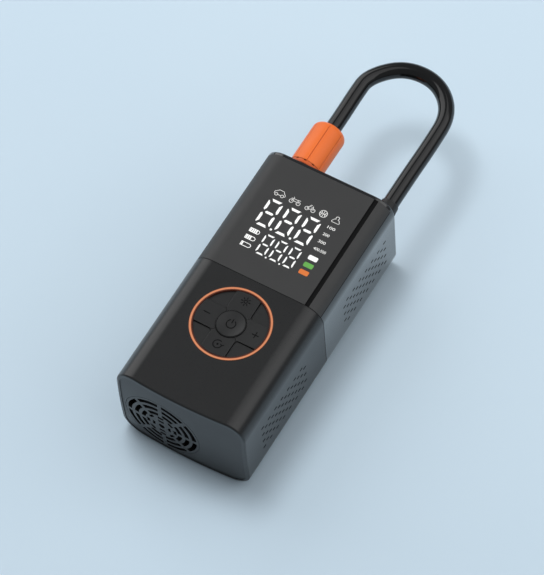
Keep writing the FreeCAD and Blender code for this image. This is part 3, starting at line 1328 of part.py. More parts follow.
def make_ports():
    """Charging socket and work lamp in the hose end."""
    half, back = D["usb_half_width"], HOSE_END - D["usb_depth"]
    body = new_body("usb_body")
    shell = new_sketch(body, "usb_section", "XZ_Plane", lift=-back)
    draw_usb(shell)
    pad(body, shell, D["usb_depth"] - 0.3, reverse=True)
    mouth = new_sketch(body, "usb_mouth", "XZ_Plane", lift=-(back + 1.0))
    draw_usb(mouth, D["usb_wall"])
    pocket(body, mouth, D["usb_depth"])
    tongue_z = BOARD_TOP + D["usb_height"] / 2
    tongue = box("usb_tongue", USB_X - half + 1.3, USB_X + half - 1.3, back + 0.9, HOSE_END - 1.0,
                 tongue_z - 0.35, tongue_z + 0.35)
    node(fuse("usb", body, tongue), "usb_socket")

    lens = new_body("lens_body")
    face = new_sketch(lens, "lens_section", "XZ_Plane", lift=-CAP_INNER)
    draw_lamp(face)
    pad(lens, face, D["hose_cap_thickness"] - 0.2, reverse=True)
    node(lens, "lamp_lens")
    board_half = D["lamp_half_width"] - 1.0
    plate = box("lamp_plate", LAMP_X - board_half, LAMP_X + board_half, CAP_INNER - 2.2, CAP_INNER - 1.0,
                BOARD_TOP, LAMP_Z + D["lamp_half_height"])
    light = box("lamp_emitter", LAMP_X - 2.5, LAMP_X + 2.5, CAP_INNER - 1.1, CAP_INNER,
                LAMP_Z - 2.5, LAMP_Z + 2.5)
    node(fuse("lamp", plate, light), "lamp_board")


def make_hose():
    """Brass fitting, collar, and the hose that loops from the collar to the docked chuck."""
    x, z = HOSE_X, HOSE_Z
    fitting = fuse("fitting_solid",
                   rod("fitting_stem", "Y", D["fitting_radius"], CAP_INNER, COLLAR_END, x, z),
                   rod("fitting_flange", "Y", 3.3, CAP_INNER - 2.0, CAP_INNER, x, z),
                   rod("fitting_barb", "Y", D["nipple_radius"], CAP_INNER - 14.0, CAP_INNER - 2.0, x, z))
    node(cut("fitting", fitting, rod("fitting_bore_tool", "Y", D["fitting_bore"] - 0.4, CAP_INNER - 15.0,
                                     COLLAR_END + 1.0, x, z)), "hose_fitting")
    collar = DOC.addObject("Part::Cone", "collar_cone")
    collar.Placement = Placement(Vector(), AXIS_TURN["Y"])
    bind(collar, "Radius1", D["collar_radius"])
    bind(collar, "Radius2", D["collar_radius"] - 0.4)
    bind(collar, "Height", D["collar_length"])
    place(collar, x, HOSE_END, z)
    bore = rod("collar_bore", "Y", D["fitting_radius"], HOSE_END - 1.0, COLLAR_END + 1.0, x, z)
    node(cut("collar", collar, bore), "hose_collar")

    height = z.value
    start, end = COLLAR_END.value, CORE_TOP.value
    right, left = x.value, CHUCK_X.value
    loop_radius = (right - left) / 2
    middle = (right + left) / 2
    out = HOSE_END.value
    loop_y = out + 56.8
    shoulder, crest = 0.4142 * loop_radius, loop_radius
    points = [
        Vector(right, start, height),
        Vector(right, out + 23.0, height),
        Vector(right + 0.5, out + 44.5, height),
        Vector(middle + crest, loop_y + shoulder, height),
        Vector(middle + shoulder, loop_y + crest, height),
        Vector(middle - shoulder, loop_y + crest, height),
        Vector(middle - crest, loop_y + shoulder, height),
        Vector(left - 0.3, out + 54.0, height),
        Vector(left, out + 41.5, height),
        Vector(left, end, height),
    ]
    node(shape_object("hose", swept_tube("air hose", points, D["hose_radius"].value)), "air_hose")


def ring_profile(name, points, x, z):
    """A body turned about an axis along Y; points are (radius, station) pairs."""
    body = new_body(f"{name}_body")
    sketch = new_sketch(body, f"{name}_profile", "XY_Plane", lift=z, offset=(x, 0.0))
    draw_polygon(sketch, points)
    turned = body.newObject("PartDesign::Revolution", f"{name}_turned")
    turned.Profile = sketch
    turned.ReferenceAxis = (sketch, ["V_Axis"])
    turned.Angle = 360
    return body


def turned_about(angle, points):
    """Points of a sketch turned clockwise about its origin."""
    c, s = math.cos(angle), math.sin(angle)
    return [(u * c + v * s, v * c - u * s) for u, v in points]


def make_chuck():
    """Dock post, and the chuck: core, seal, fluted sleeve and notched ring."""
    x, z = CHUCK_X, HOSE_Z
    post_r = D["post_radius"]
    post = ring_profile("post", [
        (size(0.0), CAP_INNER - 2.0), (size(5.0), CAP_INNER - 2.0), (size(5.0), CAP_INNER),
        (D["fitting_radius"], CAP_INNER), (D["fitting_radius"], HOSE_END), (size(5.5), HOSE_END),
        (size(5.5), HOSE_END + 0.8), (post_r, HOSE_END + 0.8), (post_r, POST_TOP - 1.0),
        (post_r - 1.0, POST_TOP), (size(0.0), POST_TOP)], x, z)
    node(post, "dock_post")

    core_r, bore_r = D["chuck_core_radius"], D["post_radius"] + D["post_gap"]
    hose_r = D["hose_radius"] - 0.1
    seal_low = POST_TOP + 0.3
    core = ring_profile("core", [
        (bore_r, CORE_LOW), (core_r, CORE_LOW), (core_r, CORE_SHOULDER), (hose_r, CORE_SHOULDER),
        (hose_r, CORE_TOP), (size(0.0), CORE_TOP), (size(0.0), seal_low + 2.0),
        (bore_r, seal_low + 2.0)], x, z)
    node(core, "chuck_core")
    node(cut("seal", rod("seal_disc", "Y", bore_r, seal_low, seal_low + 2.0, x, z),
             rod("seal_hole", "Y", 1.5, seal_low - 1.0, seal_low + 3.0, x, z)), "chuck_seal")

    outer, round_r = D["chuck_radius"], D["chuck_round"]
    mouth = D["hose_radius"] + 0.3
    body = new_body("sleeve_body")
    tube = new_sketch(body, "sleeve_tube", "XZ_Plane", lift=-RING_HIGH, offset=(x, z))
    draw_circle(tube, 0.0, 0.0, outer)
    draw_circle(tube, 0.0, 0.0, mouth)
    drum = pad(body, tube, D["chuck_sleeve_length"], reverse=True)
    DOC.recompute()
    rim = []
    for i, edge in enumerate(drum.Shape.Edges, start=1):
        limits = edge.BoundBox
        if abs(limits.YMin - SLEEVE_HIGH.value) < 1e-4 and limits.XLength > 2 * outer.value - 0.1:
            rim.append(f"Edge{i}")
    edge_work(body, "Fillet", drum, rim, round_r)
    cavity = new_sketch(body, "sleeve_cavity", "XZ_Plane", lift=-RING_HIGH, offset=(x, z))
    draw_circle(cavity, 0.0, 0.0, SLEEVE_BORE)
    pocket(body, cavity, CORE_SHOULDER + 0.2 - RING_HIGH)
    flute = new_sketch(body, "sleeve_flute", "XZ_Plane", lift=-RING_HIGH, offset=(x, z))
    depth = D["flute_depth"]
    draw_polygon(flute, turned_about(FLUTE_TURN, [
        (-depth * 1.6, outer + 0.5), (size(0.0), outer - depth), (depth * 1.6, outer + 0.5)]))
    polar(body, pocket(body, flute, D["chuck_sleeve_length"]), flute, FLUTE_COUNT)
    node(body, "chuck_sleeve")

    ring = new_body("ring_body")
    section = new_sketch(ring, "ring_section", "XZ_Plane", lift=-RING_LOW, offset=(x, z))
    draw_circle(section, 0.0, 0.0, outer - 0.15)
    draw_circle(section, 0.0, 0.0, SLEEVE_BORE)
    pad(ring, section, D["chuck_ring_length"], reverse=True)
    notch = new_sketch(ring, "ring_notch", "XZ_Plane", lift=-(RING_HIGH - D["notch_length"]), offset=(x, z))
    half, floor = D["notch_width"] / 2, outer - D["notch_depth"]
    draw_polygon(notch, turned_about(NOTCH_TURN, [
        (-half, floor), (half, floor), (half, outer + 0.5), (-half, outer + 0.5)]))
    polar(ring, pocket(ring, notch, 1.0), notch, NOTCH_COUNT)
    node(ring, "chuck_lock_ring")


def make_part():
    """Build every sub-part."""
    make_lower_sleeve()
    make_upper_shell()
    make_front_panel()
    make_hose_end_cap()
    make_fan_end_cap()
    make_fan_grille()
    make_keypad()
    make_display()
    make_motor()
    make_cooling_fan()
    make_gears()
    make_bracket()
    make_pump()
    make_delivery_tube()
    make_battery()
    make_ports()
    make_hose()
    make_chuck()


def check_and_write():
    """Stop at any failed object or bad shape, then write each sub-part."""
    DOC.recompute()
    bad = [o.Name for o in DOC.Objects if {"Invalid", "Error"} & set(o.State)]
    for thing in NODES:
        if thing.Shape.isNull() or not thing.Shape.isValid() or not thing.Shape.Solids:
            bad.append(thing.Label)
    if bad:
        raise RuntimeError("failed objects: " + ", ".join(bad))
    os.makedirs("parts", exist_ok=True)
    for thing in NODES:
        thing.Shape.exportStep(f"parts/{thing.Label}.step")
    print(len(NODES), "sub-parts written")


make_part()
check_and_write()
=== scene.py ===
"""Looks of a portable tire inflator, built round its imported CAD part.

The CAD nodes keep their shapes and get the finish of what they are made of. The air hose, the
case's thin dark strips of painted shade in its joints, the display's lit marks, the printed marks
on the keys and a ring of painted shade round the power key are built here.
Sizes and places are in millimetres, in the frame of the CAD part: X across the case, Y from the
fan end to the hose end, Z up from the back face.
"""

import logging
import math
from dataclasses import dataclass, field
from enum import Enum

import bmesh
import bpy
from mathutils import Euler, Matrix, Vector


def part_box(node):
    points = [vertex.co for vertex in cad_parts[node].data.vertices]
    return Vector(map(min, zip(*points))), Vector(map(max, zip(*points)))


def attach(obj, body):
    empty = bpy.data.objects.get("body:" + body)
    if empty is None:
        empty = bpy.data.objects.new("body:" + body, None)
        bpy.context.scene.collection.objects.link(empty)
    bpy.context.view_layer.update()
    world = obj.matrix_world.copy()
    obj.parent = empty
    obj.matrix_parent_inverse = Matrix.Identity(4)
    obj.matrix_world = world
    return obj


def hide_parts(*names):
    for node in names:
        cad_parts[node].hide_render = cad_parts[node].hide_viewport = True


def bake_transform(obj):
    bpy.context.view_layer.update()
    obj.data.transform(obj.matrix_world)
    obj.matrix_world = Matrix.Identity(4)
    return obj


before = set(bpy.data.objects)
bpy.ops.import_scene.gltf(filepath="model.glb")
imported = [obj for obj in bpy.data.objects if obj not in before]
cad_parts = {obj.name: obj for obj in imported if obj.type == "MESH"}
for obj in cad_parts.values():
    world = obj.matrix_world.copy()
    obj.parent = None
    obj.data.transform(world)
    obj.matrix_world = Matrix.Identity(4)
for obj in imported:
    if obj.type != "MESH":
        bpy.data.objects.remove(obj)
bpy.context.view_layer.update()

LOG = logging.getLogger("inflator")
MM = 0.001
PHOTO_HEIGHT = 575
SENSOR_HEIGHT = 36.0
RING_Y = -24.7  # place of the keypad's centre, along the case
CURVE_MAP = "UVMap"  # the map that a curve's tube brings with it
NOISE_LOW = 0.3  # a noise pattern runs from about this value
NOISE_HIGH = 0.7  # to about this one
GRAIN_DETAIL = 3.0
CLOUD_DETAIL = 2.0
BEVEL_SAMPLES = 4
OPEN_SAMPLES = 8
BANDS_PER_UNIT = 3.2  # bands that a wave pattern draws per unit at scale 1

Tree = bpy.types.NodeTree
Node = bpy.types.Node
Socket = bpy.types.NodeSocket
Mesh = bpy.types.Mesh
Flat = tuple[float, float]


class Body(Enum):
    """CAD bodies that the scene's own pieces ride on."""

    CASE = "case"
    POWER_KEY = "power_key_body"
    LIGHT_KEY = "light_key_body"
    MINUS_KEY = "minus_key_body"
    PLUS_KEY = "plus_key_body"
    MODE_KEY = "mode_key_body"
    CHUCK = "chuck"


class Slot(Enum):
    """Material slots of the record that the scene's own pieces take their finish from."""

    HOSE = "hose_rubber"
    LENS = "lens_acrylic"
    KEY = "key_plastic"


class Grain(Enum):
    """How a metal surface was made, which sets the way that its marks run."""

    CAST = (1.0, 1.0, 1.0)
    TURNED = (0.06, 1.0, 0.06)
    DRAWN = (1.0, 0.04, 1.0)


def linear(colour: str) -> tuple[float, float, float, float]:
    """Turn an sRGB hex colour into linear light.

    Args:
        colour: A colour such as "#303030".

    Returns:
        Red, green, blue and an alpha of 1.
    """
    parts = [int(colour[i:i + 2], 16) / 255 for i in (1, 3, 5)]
    red, green, blue = [p / 12.92 if p <= 0.04045 else ((p + 0.055) / 1.055) ** 2.4 for p in parts]
    return red, green, blue, 1.0


def add_node(tree: Tree, kind: str, inputs: dict | None = None, **settings: object) -> Node:
    """Add a shader node with its settings, values and links.

    Args:
        tree: The node tree that gets the node.
        kind: The node's type name, without its ShaderNode.
        inputs: Input name or index, and the value or output socket that it takes.
        settings: Properties of the node.

    Returns:
        The new node.
    """
    node = tree.nodes.new("ShaderNode" + kind)
    for name, value in settings.items():
        setattr(node, name, value)
    for name, value in (inputs or {}).items():
        if isinstance(value, Socket):
            tree.links.new(value, node.inputs[name])
        else:
            node.inputs[name].default_value = value
    return node


def per_metre(size_mm: float) -> float:
    """Texture scale that repeats once in a length given in millimetres."""
    return 1 / (size_mm * MM)


@dataclass(frozen=True)
class Finish:
    """A finish of one real material, and the shader that every kind starts from."""

    name: str
    colour: str
    roughness: float
    ior: float = 1.5
    metallic: float = 0.0
    grain_mm: float = 0.6
    relief_mm: float = 0.01
    shade: str = "#000000"
    shade_share: float = 0.5
    gloss_spread: float = 0.06
    round_mm: float = 0.25
    coat: float = 0.0
    coat_roughness: float = 0.12
    cloud_ratio: float = 30.0

    def material(self) -> bpy.types.Material:
        """Build the material, or find it when it's there already.

        Returns:
            The material of this finish.
        """
        known = bpy.data.materials.get(self.name)
        if known:
            return known
        made = bpy.data.materials.new(self.name)
        made.use_nodes = True
        tree = made.node_tree
        tree.nodes.clear()
        output = add_node(tree, "OutputMaterial")
        shader = add_node(tree, "BsdfPrincipled", {
            "Base Color": linear(self.colour), "Roughness": self.roughness, "Metallic": self.metallic})
        if not self.metallic:
            shader.inputs["IOR"].default_value = self.ior
        if self.coat:
            shader.inputs["Coat Weight"].default_value = self.coat
            shader.inputs["Coat Roughness"].default_value = self.coat_roughness
        tree.links.new(shader.outputs["BSDF"], output.inputs["Surface"])
        self.dress(tree, shader)
        return made

    def place(self, tree: Tree) -> Socket:
        """Coordinates that the pattern is laid on."""
        return add_node(tree, "TexCoord").outputs["Object"]

    def cloudy(self, tree: Tree, pattern: Socket) -> Socket:
        """Let a pattern turn the colour towards its shade.

        Args:
            tree: The material's node tree.
            pattern: The pattern.

        Returns:
            The uneven colour.
        """
        share = add_node(tree, "MapRange", {
            "Value": pattern, "From Min": NOISE_LOW, "From Max": NOISE_HIGH,
            "To Min": 0.0, "To Max": self.shade_share})
        mix = add_node(tree, "Mix", {
            0: share.outputs["Result"], 6: linear(self.colour), 7: linear(self.shade)}, data_type="RGBA")
        return mix.outputs[2]

    def raise_relief(self, tree: Tree, shader: Node, height: Socket) -> None:
        """Give the surface its relief, on edges that are slightly rounded.

        Args:
            tree: The material's node tree.
            shader: The shader that gets the normal.
            height: The pattern of the relief.
        """
        rounded = add_node(tree, "Bevel", {"Radius": self.round_mm * MM}, samples=BEVEL_SAMPLES)
        bump = add_node(tree, "Bump", {
            "Distance": self.relief_mm * MM, "Height": height, "Normal": rounded.outputs["Normal"]})
        tree.links.new(bump.outputs["Normal"], shader.inputs["Normal"])

    def dress(self, tree: Tree, shader: Node) -> None:
        """Add the pattern: fine grain, and cloudy changes of tone and gloss.

        Args:
            tree: The material's node tree.
            shader: The material's shader.
        """
        place = self.place(tree)
        grain = add_node(tree, "TexNoise", {
            "Vector": place, "Scale": per_metre(self.grain_mm), "Detail": GRAIN_DETAIL}).outputs["Fac"]
        cloud = add_node(tree, "TexNoise", {
            "Vector": place, "Scale": per_metre(self.grain_mm * self.cloud_ratio),
            "Detail": CLOUD_DETAIL}).outputs["Fac"]
        tree.links.new(self.cloudy(tree, cloud), shader.inputs["Base Color"])
        gloss = add_node(tree, "MapRange", {
            "Value": grain, "From Min": NOISE_LOW, "From Max": NOISE_HIGH,
            "To Min": self.roughness - self.gloss_spread, "To Max": self.roughness + self.gloss_spread})
        tree.links.new(gloss.outputs["Result"], shader.inputs["Roughness"])
        self.raise_relief(tree, shader, grain)


@dataclass(frozen=True)
class WornPlastic(Finish):
    """Moulded plastic whose edges are polished a little lighter by handling."""

    edge: str = "#606060"
    edge_share: float = 0.5
    wear_mm: float = 0.4
    wear_starts: float = 0.995
    wear_full: float = 0.85

    def dress(self, tree: Tree, shader: Node) -> None:
        """Add the grain, then lighten the edges.

        Args:
            tree: The material's node tree.
            shader: The material's shader.
        """
        super().dress(tree, shader)
        base = shader.inputs["Base Color"].links[0].from_socket
        rounded = add_node(tree, "Bevel", {"Radius": self.wear_mm * MM}, samples=BEVEL_SAMPLES)
        flat = add_node(tree, "NewGeometry")
        along = add_node(tree, "VectorMath", {
            0: rounded.outputs["Normal"], 1: flat.outputs["Normal"]}, operation="DOT_PRODUCT")
        mask = add_node(tree, "MapRange", {
            "Value": along.outputs["Value"], "From Min": self.wear_starts, "From Max": self.wear_full,
            "To Min": 0.0, "To Max": self.edge_share})
        mix = add_node(tree, "Mix", {0: mask.outputs["Result"], 6: base, 7: linear(self.edge)},
                       data_type="RGBA")
        tree.links.new(mix.outputs[2], shader.inputs["Base Color"])


@dataclass(frozen=True)
class GroovedPlastic(WornPlastic):
    """Worn plastic with painted shade: its grooves, notches or slots are painted dark and dull."""

    recess_shade: str = "#A84616"
    recess_shade_share: float = 0.8
    recess_shade_mm: float = 2.0
    recess_shade_roughness: float = 0.9
    recess_shade_starts: float = 0.95
    recess_shade_full: float = 0.55

    def dress(self, tree: Tree, shader: Node) -> None:
        """Add the grain and the edges, then paint shade on what lies deep: dark and dull.

        Args:
            tree: The material's node tree.
            shader: The material's shader.
        """
        super().dress(tree, shader)
        base = shader.inputs["Base Color"].links[0].from_socket
        # Painted shade: the less open a place is, the darker and duller it is painted.
        open_share = add_node(tree, "AmbientOcclusion", {
            "Distance": self.recess_shade_mm * MM}, samples=OPEN_SAMPLES)
        deep = add_node(tree, "MapRange", {
            "Value": open_share.outputs["AO"], "From Min": self.recess_shade_starts, "From Max": self.recess_shade_full,
            "To Min": 0.0, "To Max": self.recess_shade_share})
        mix = add_node(tree, "Mix", {0: deep.outputs["Result"], 6: base, 7: linear(self.recess_shade)},
                       data_type="RGBA")
        tree.links.new(mix.outputs[2], shader.inputs["Base Color"])
        clean = shader.inputs["Roughness"].links[0].from_socket
        dull = add_node(tree, "Mix", {
            0: deep.outputs["Result"], 2: clean, 3: self.recess_shade_roughness})
        tree.links.new(dull.outputs[0], shader.inputs["Roughness"])


@dataclass(frozen=True)
class Metal(Finish):
    """A metal whose marks run the way that its surface was made."""

    metallic: float = 1.0
    marks: Grain = Grain.CAST

    def place(self, tree: Tree) -> Socket:
        """Object coordinates, drawn out along the marks."""
        drawn = add_node(tree, "Mapping", {"Vector": super().place(tree), "Scale": self.marks.value})
        return drawn.outputs["Vector"]


@dataclass(frozen=True)
class Lit(Finish):
    """A lit window of the display or the lit ring: it shines through a thin milky skin."""

    grain_mm: float = 0.5
    strength: float = 1.0
    patch_ratio: float = 4.0

    def dress(self, tree: Tree, shader: Node) -> None:
        """Add the glow, slightly uneven as the light behind it is.

        Args:
            tree: The material's node tree.
            shader: The material's shader.
        """
        super().dress(tree, shader)
        uneven = add_node(tree, "TexNoise", {
            "Vector": self.place(tree),
            "Scale": per_metre(self.grain_mm * self.patch_ratio)}).outputs["Fac"]
        tree.links.new(self.cloudy(tree, uneven), shader.inputs["Emission Color"])
        shader.inputs["Emission Strength"].default_value = self.strength


@dataclass(frozen=True)
class LitRing(Lit):
    """A lit ring whose colour and light turn dark brown towards its two edges."""

    centre_mm: tuple[float, float, float] = (0.0, RING_Y, 0.0)
    radius_mm: float = 20.3
    core_mm: float = 0.3
    fade_mm: float = 0.4
    edge: str = "#4E2010"

    def dress(self, tree: Tree, shader: Node) -> None:
        """Add the glow, darker at the edges.

        Args:
            tree: The material's node tree.
            shader: The material's shader.
        """
        super().dress(tree, shader)
        flat = add_node(tree, "VectorMath", {
            0: self.place(tree), 1: (1.0, 1.0, 0.0)}, operation="MULTIPLY")
        centre = tuple(c * MM for c in self.centre_mm)
        reach = add_node(tree, "VectorMath", {
            0: flat.outputs["Vector"], 1: centre}, operation="DISTANCE")
        off = add_node(tree, "Math", {
            0: reach.outputs["Value"], 1: self.radius_mm * MM}, operation="SUBTRACT")
        wide = add_node(tree, "Math", {0: off.outputs[0]}, operation="ABSOLUTE")
        fade = add_node(tree, "MapRange", {
            "Value": wide.outputs[0], "From Min": self.core_mm * MM,
            "From Max": (self.core_mm + self.fade_mm) * MM})
        for name in ("Base Color", "Emission Color"):
            mix = add_node(tree, "Mix", {
                0: fade.outputs["Result"], 6: shader.inputs[name].links[0].from_socket,
                7: linear(self.edge)}, data_type="RGBA")
            tree.links.new(mix.outputs[2], shader.inputs[name])


@dataclass(frozen=True)
class Laminate(Finish):
    """Glass laminate under lacquer, with tracks that show through it, lighter."""

    track: str = "#2E7A4C"
    track_mm: float = 1.8
    row_share: float = 0.25
    run_share: float = 1.3
    line_share: float = 0.03

    def dress(self, tree: Tree, shader: Node) -> None:
        """Add tracks and the glass weave.

        Args:
            tree: The material's node tree.
            shader: The material's shader.
        """
        super().dress(tree, shader)
        tracks = add_node(tree, "TexBrick", {
            "Vector": self.place(tree), "Color1": linear(self.colour), "Color2": linear(self.shade),
            "Mortar": linear(self.track), "Scale": per_metre(self.track_mm / self.row_share),
            "Mortar Size": self.line_share, "Brick Width": self.run_share, "Row Height": self.row_share})
        tree.links.new(tracks.outputs["Color"], shader.inputs["Base Color"])


@dataclass(frozen=True)
class Clear(Finish):
    """Clear moulded plastic with fine ribs that spread the light."""

    clearness: float = 0.9

    def dress(self, tree: Tree, shader: Node) -> None:
        """Let light through, and add the ribs.

        Args:
            tree: The material's node tree.
            shader: The material's shader.
        """
        shader.inputs["Transmission Weight"].default_value = self.clearness
        ribs = add_node(tree, "TexWave", {
            "Vector": self.place(tree), "Scale": per_metre(self.grain_mm) / BANDS_PER_UNIT,
            "Distortion": 0.0}, wave_type="BANDS", bands_direction="X")
        self.raise_relief(tree, shader, ribs.outputs["Fac"])


@dataclass(frozen=True)
class HoseRubber(Finish):
    """Extruded rubber: faint lines run along it, laid on the tube's own map."""

    scale_along: float = 0.0012
    scale_around: float = 0.03

    def place(self, tree: Tree) -> Socket:
        """Draw the tube's map out along its length.

        Args:
            tree: The material's node tree.

        Returns:
            The map's coordinates.
        """
        laid = add_node(tree, "UVMap", uv_map=CURVE_MAP).outputs["UV"]
        scale = (self.scale_along, self.scale_around, 1.0)
        return add_node(tree, "Mapping", {"Vector": laid, "Scale": scale}).outputs["Vector"]


# The real grains of moulded and machined surfaces are mostly finer than 0.2 mm. All are drawn as
# coarse as grain_mm says, because a finer one wouldn't show in the render.

# Black ABS with a spark-eroded skin under a thin satin lacquer: a fine even grain and broad soft lights.
# Its vent slots and other deep places are painted black: painted shade.
SLEEVE_ABS = GroovedPlastic(
    "textured_black_abs", "#151515", 0.3, shade="#101010", shade_share=0.35, grain_mm=0.35,
    relief_mm=0.002, gloss_spread=0.03, round_mm=0.1, edge="#303030", edge_share=0.3, coat=0.25,
    coat_roughness=0.3, recess_shade="#000000", recess_shade_share=1.0)
# The same ABS from a smoother mould and lacquered, on the hose half: clear soft reflections.
# Its vent slots and other deep places are painted black: painted shade.
SHELL_ABS = GroovedPlastic(
    "satin_black_abs", "#101010", 0.15, shade="#0A0A0A", shade_share=0.3, grain_mm=0.5, relief_mm=0.001,
    gloss_spread=0.03, round_mm=0.1, edge="#404040", edge_share=0.3, coat=1.0, recess_shade="#000000",
    recess_shade_share=1.0)
# The same ABS in the fan end, dull from a stone-finished mould: dark grey, painted lighter than the
# sleeve as painted light on the end face.
CAP_ABS = WornPlastic(
    "stoned_black_abs_painted_lighter", "#303030", 0.36, shade="#282828", shade_share=0.35, grain_mm=0.4,
    relief_mm=0.002, gloss_spread=0.03, round_mm=0.1, edge="#383838", edge_share=0.3)
# Smoked polycarbonate front over the display: dark grey and evenly satin.
PANEL_POLYCARBONATE = WornPlastic(
    "smoked_polycarbonate", "#363636", 0.5, shade="#313131", shade_share=0.4, grain_mm=0.5,
    relief_mm=0.003, edge="#5A5A5A", edge_share=0.3)
# Soft black elastomer in the groove, also used for the strips of painted shade in the case's joints: deep
# black and dull.
STRIP_RUBBER = Finish(
    "soft_black_elastomer", "#020202", 0.85, ior=1.41, shade="#020202", grain_mm=0.4, relief_mm=0.004)
# Orange ABS of the chuck: even colour with a soft waxy gloss, and painted shade in its flutes, a deeper
# orange.
CHUCK_ABS = GroovedPlastic(
    "orange_abs", "#F87A32", 0.42, shade="#F06E28", grain_mm=0.6, relief_mm=0.006, round_mm=0.4,
    edge="#F79A66", recess_shade="#C85A24", recess_shade_share=0.5)
# The chuck's lock ring: the same resin, painted a little darker than the chuck as painted shade, with
# painted shade in its notches.
RING_ABS = GroovedPlastic(
    "notched_orange_abs", "#E06628", 0.4, shade="#C0501E", grain_mm=0.6, relief_mm=0.008,
    edge="#C4602F", recess_shade="#4A1A0A")
# Milky orange acrylic of the lit ring: a pale orange glow from within, brown at both edges.
RING_ACRYLIC = LitRing(
    "milky_orange_acrylic", "#DC8C62", 0.32, shade="#D07E54", grain_mm=0.8, relief_mm=0.003,
    strength=0.1)
# Keys in satin ABS: dark grey, a shade lighter than the sleeve.
KEY_ABS = WornPlastic(
    "satin_grey_abs", "#222222", 0.32, shade="#1B1B1B", shade_share=0.4, grain_mm=0.35, relief_mm=0.002,
    gloss_spread=0.03, round_mm=0.5, edge="#383838")
# Screen ink of the marks on the keys, also used for the ring of painted shade round the power key: near
# black and dull.
KEY_INK = Finish(
    "black_key_ink", "#020202", 0.85, ior=1.4, shade="#000000", grain_mm=0.3, relief_mm=0.004)
# Glass-filled nylon of the collar, post and fan: black with a faint fibre mottle.
BLACK_NYLON = WornPlastic(
    "glass_filled_nylon", "#191919", 0.44, shade="#2A2A2A", shade_share=0.35, grain_mm=0.45,
    relief_mm=0.015, edge="#3C3C3C")
# Extruded rubber hose: black with a wet-looking gloss and faint lines along it.
HOSE_RUBBER = HoseRubber(
    "extruded_black_rubber", "#101010", 0.12, shade="#0A0A0A", shade_share=0.6, grain_mm=0.9,
    relief_mm=0.001, gloss_spread=0.03)
# Moulded silicone of the key mat, seals and delivery tube: pale, soft and slightly greasy.
SILICONE = Finish(
    "moulded_silicone", "#BDBDB6", 0.5, ior=1.41, shade="#9C9C94", grain_mm=0.7, relief_mm=0.01)
# Acetal of the gears: ivory, smooth and waxy.
ACETAL = Finish(
    "natural_acetal", "#DCD8CC", 0.36, ior=1.48, shade="#C4BFAF", shade_share=0.4, grain_mm=0.6,
    relief_mm=0.004)
# Glass laminate boards: green lacquer with lighter tracks.
BOARD_LAMINATE = Laminate(
    "lacquered_glass_laminate", "#1B5E3C", 0.32, shade="#134A2E", grain_mm=0.25, relief_mm=0.006,
    coat=0.4)
# Moulded epoxy of the switches, parts and sensor: black, fine and dull.
EPOXY = Finish(
    "moulded_epoxy", "#1A1A1C", 0.55, shade="#2B2B2E", shade_share=0.4, grain_mm=0.2, relief_mm=0.006)
# Plated steel of the motor can, pins and screws: grey with turned marks.
PLATED_STEEL = Metal(
    "nickel_plated_steel", "#A9A9AB", 0.3, shade="#7F7F83", grain_mm=0.4, relief_mm=0.003,
    marks=Grain.TURNED)
# Laminated silicon steel with varnish, on the armature: dark grey, finely layered.
CORE_STEEL = Metal(
    "varnished_core_steel", "#6C625A", 0.42, shade="#8C4A2A", shade_share=0.8, grain_mm=0.5,
    relief_mm=0.02, marks=Grain.DRAWN)
# Sintered ferrite of the magnets: charcoal, dull and slightly rough.
FERRITE = Finish(
    "sintered_ferrite", "#3A3A3E", 0.6, ior=2.2, shade="#26262A", shade_share=0.6, grain_mm=0.5,
    relief_mm=0.02)
# Die-cast aluminium of the pump: light grey with a fine flow texture.
CAST_ALUMINIUM = Metal(
    "die_cast_aluminium", "#B9BABC", 0.46, shade="#8E9092", grain_mm=0.8, relief_mm=0.02,
    marks=Grain.CAST)
# Shrink sleeve of the cells: blue-green vinyl film with a soft gloss.
CELL_WRAP = Finish(
    "shrink_vinyl", "#2D7F9C", 0.28, ior=1.53, shade="#1E5F78", shade_share=0.6, grain_mm=1.6,
    relief_mm=0.015, coat=0.2)
# Turned brass of the fitting and the chuck core: yellow with fine rings.
TURNED_BRASS = Metal(
    "turned_brass", "#C9A45C", 0.26, shade="#9C7838", grain_mm=0.4, relief_mm=0.004, marks=Grain.TURNED)
# Clear acrylic of the work lamp: colourless, ribbed inside.
CLEAR_ACRYLIC = Clear("ribbed_clear_acrylic", "#F2F6F8", 0.08, ior=1.49, grain_mm=1.2, relief_mm=0.06)
# Milky acrylic windows of the display, lit from behind. Digits and white bar: full white.
WHITE_LIGHT = Lit("lit_white_window", "#F4F4F2", 0.35, shade="#E2E4E6", strength=0.3)
# Battery marks: a softer white.
BATTERY_LIGHT = Lit("soft_white_window", "#E4E4E2", 0.35, shade="#D2D4D6", strength=0.6)
# Line drawings and small numbers: light grey.
MARK_LIGHT = Lit("dim_white_window", "#D6D6D3", 0.35, shade="#BDBFC0", strength=0.55)
# Green bar: leaf green, even.
GREEN_LIGHT = Lit("lit_green_window", "#6AAE54", 0.35, shade="#55973F", strength=0.2)
# Orange bar: warm orange, even.
ORANGE_LIGHT = Lit("lit_orange_window", "#DC7838", 0.35, shade="#CE6A2E", strength=0.15)
# Matt paint of the floor: pale blue with a very slight cloud.
FLOOR_PAINT = Finish(
    "pale_blue_paint", "#D2E6F4", 0.6, shade="#CCE1F1", shade_share=0.4, grain_mm=8.0, relief_mm=0.02)


def dress_nodes(finish: Finish, *names: str) -> None:
    """Give CAD nodes a finish through their material slots.

    Args:
        finish: What the nodes are made of.
        names: The nodes.
    """
    for name in names:
        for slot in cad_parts[name].material_slots:
            slot.material = finish.material()
        LOG.info("%s: %s", name, finish.name)


def finish_piece(mesh: Mesh, finish: Finish, name: str) -> bpy.types.Object:
    """Make an object of a finished mesh and dress it.

    Args:
        mesh: The piece's mesh, in its place.
        finish: What it is made of.
        name: The piece's name.

    Returns:
        The new object.
    """
    piece = bpy.data.objects.new(name, mesh)
    bpy.context.scene.collection.objects.link(piece)
    mesh.materials.clear()
    mesh.materials.append(finish.material())
    LOG.info("%s: %d faces, %s", name, len(mesh.polygons), finish.name)
    return piece


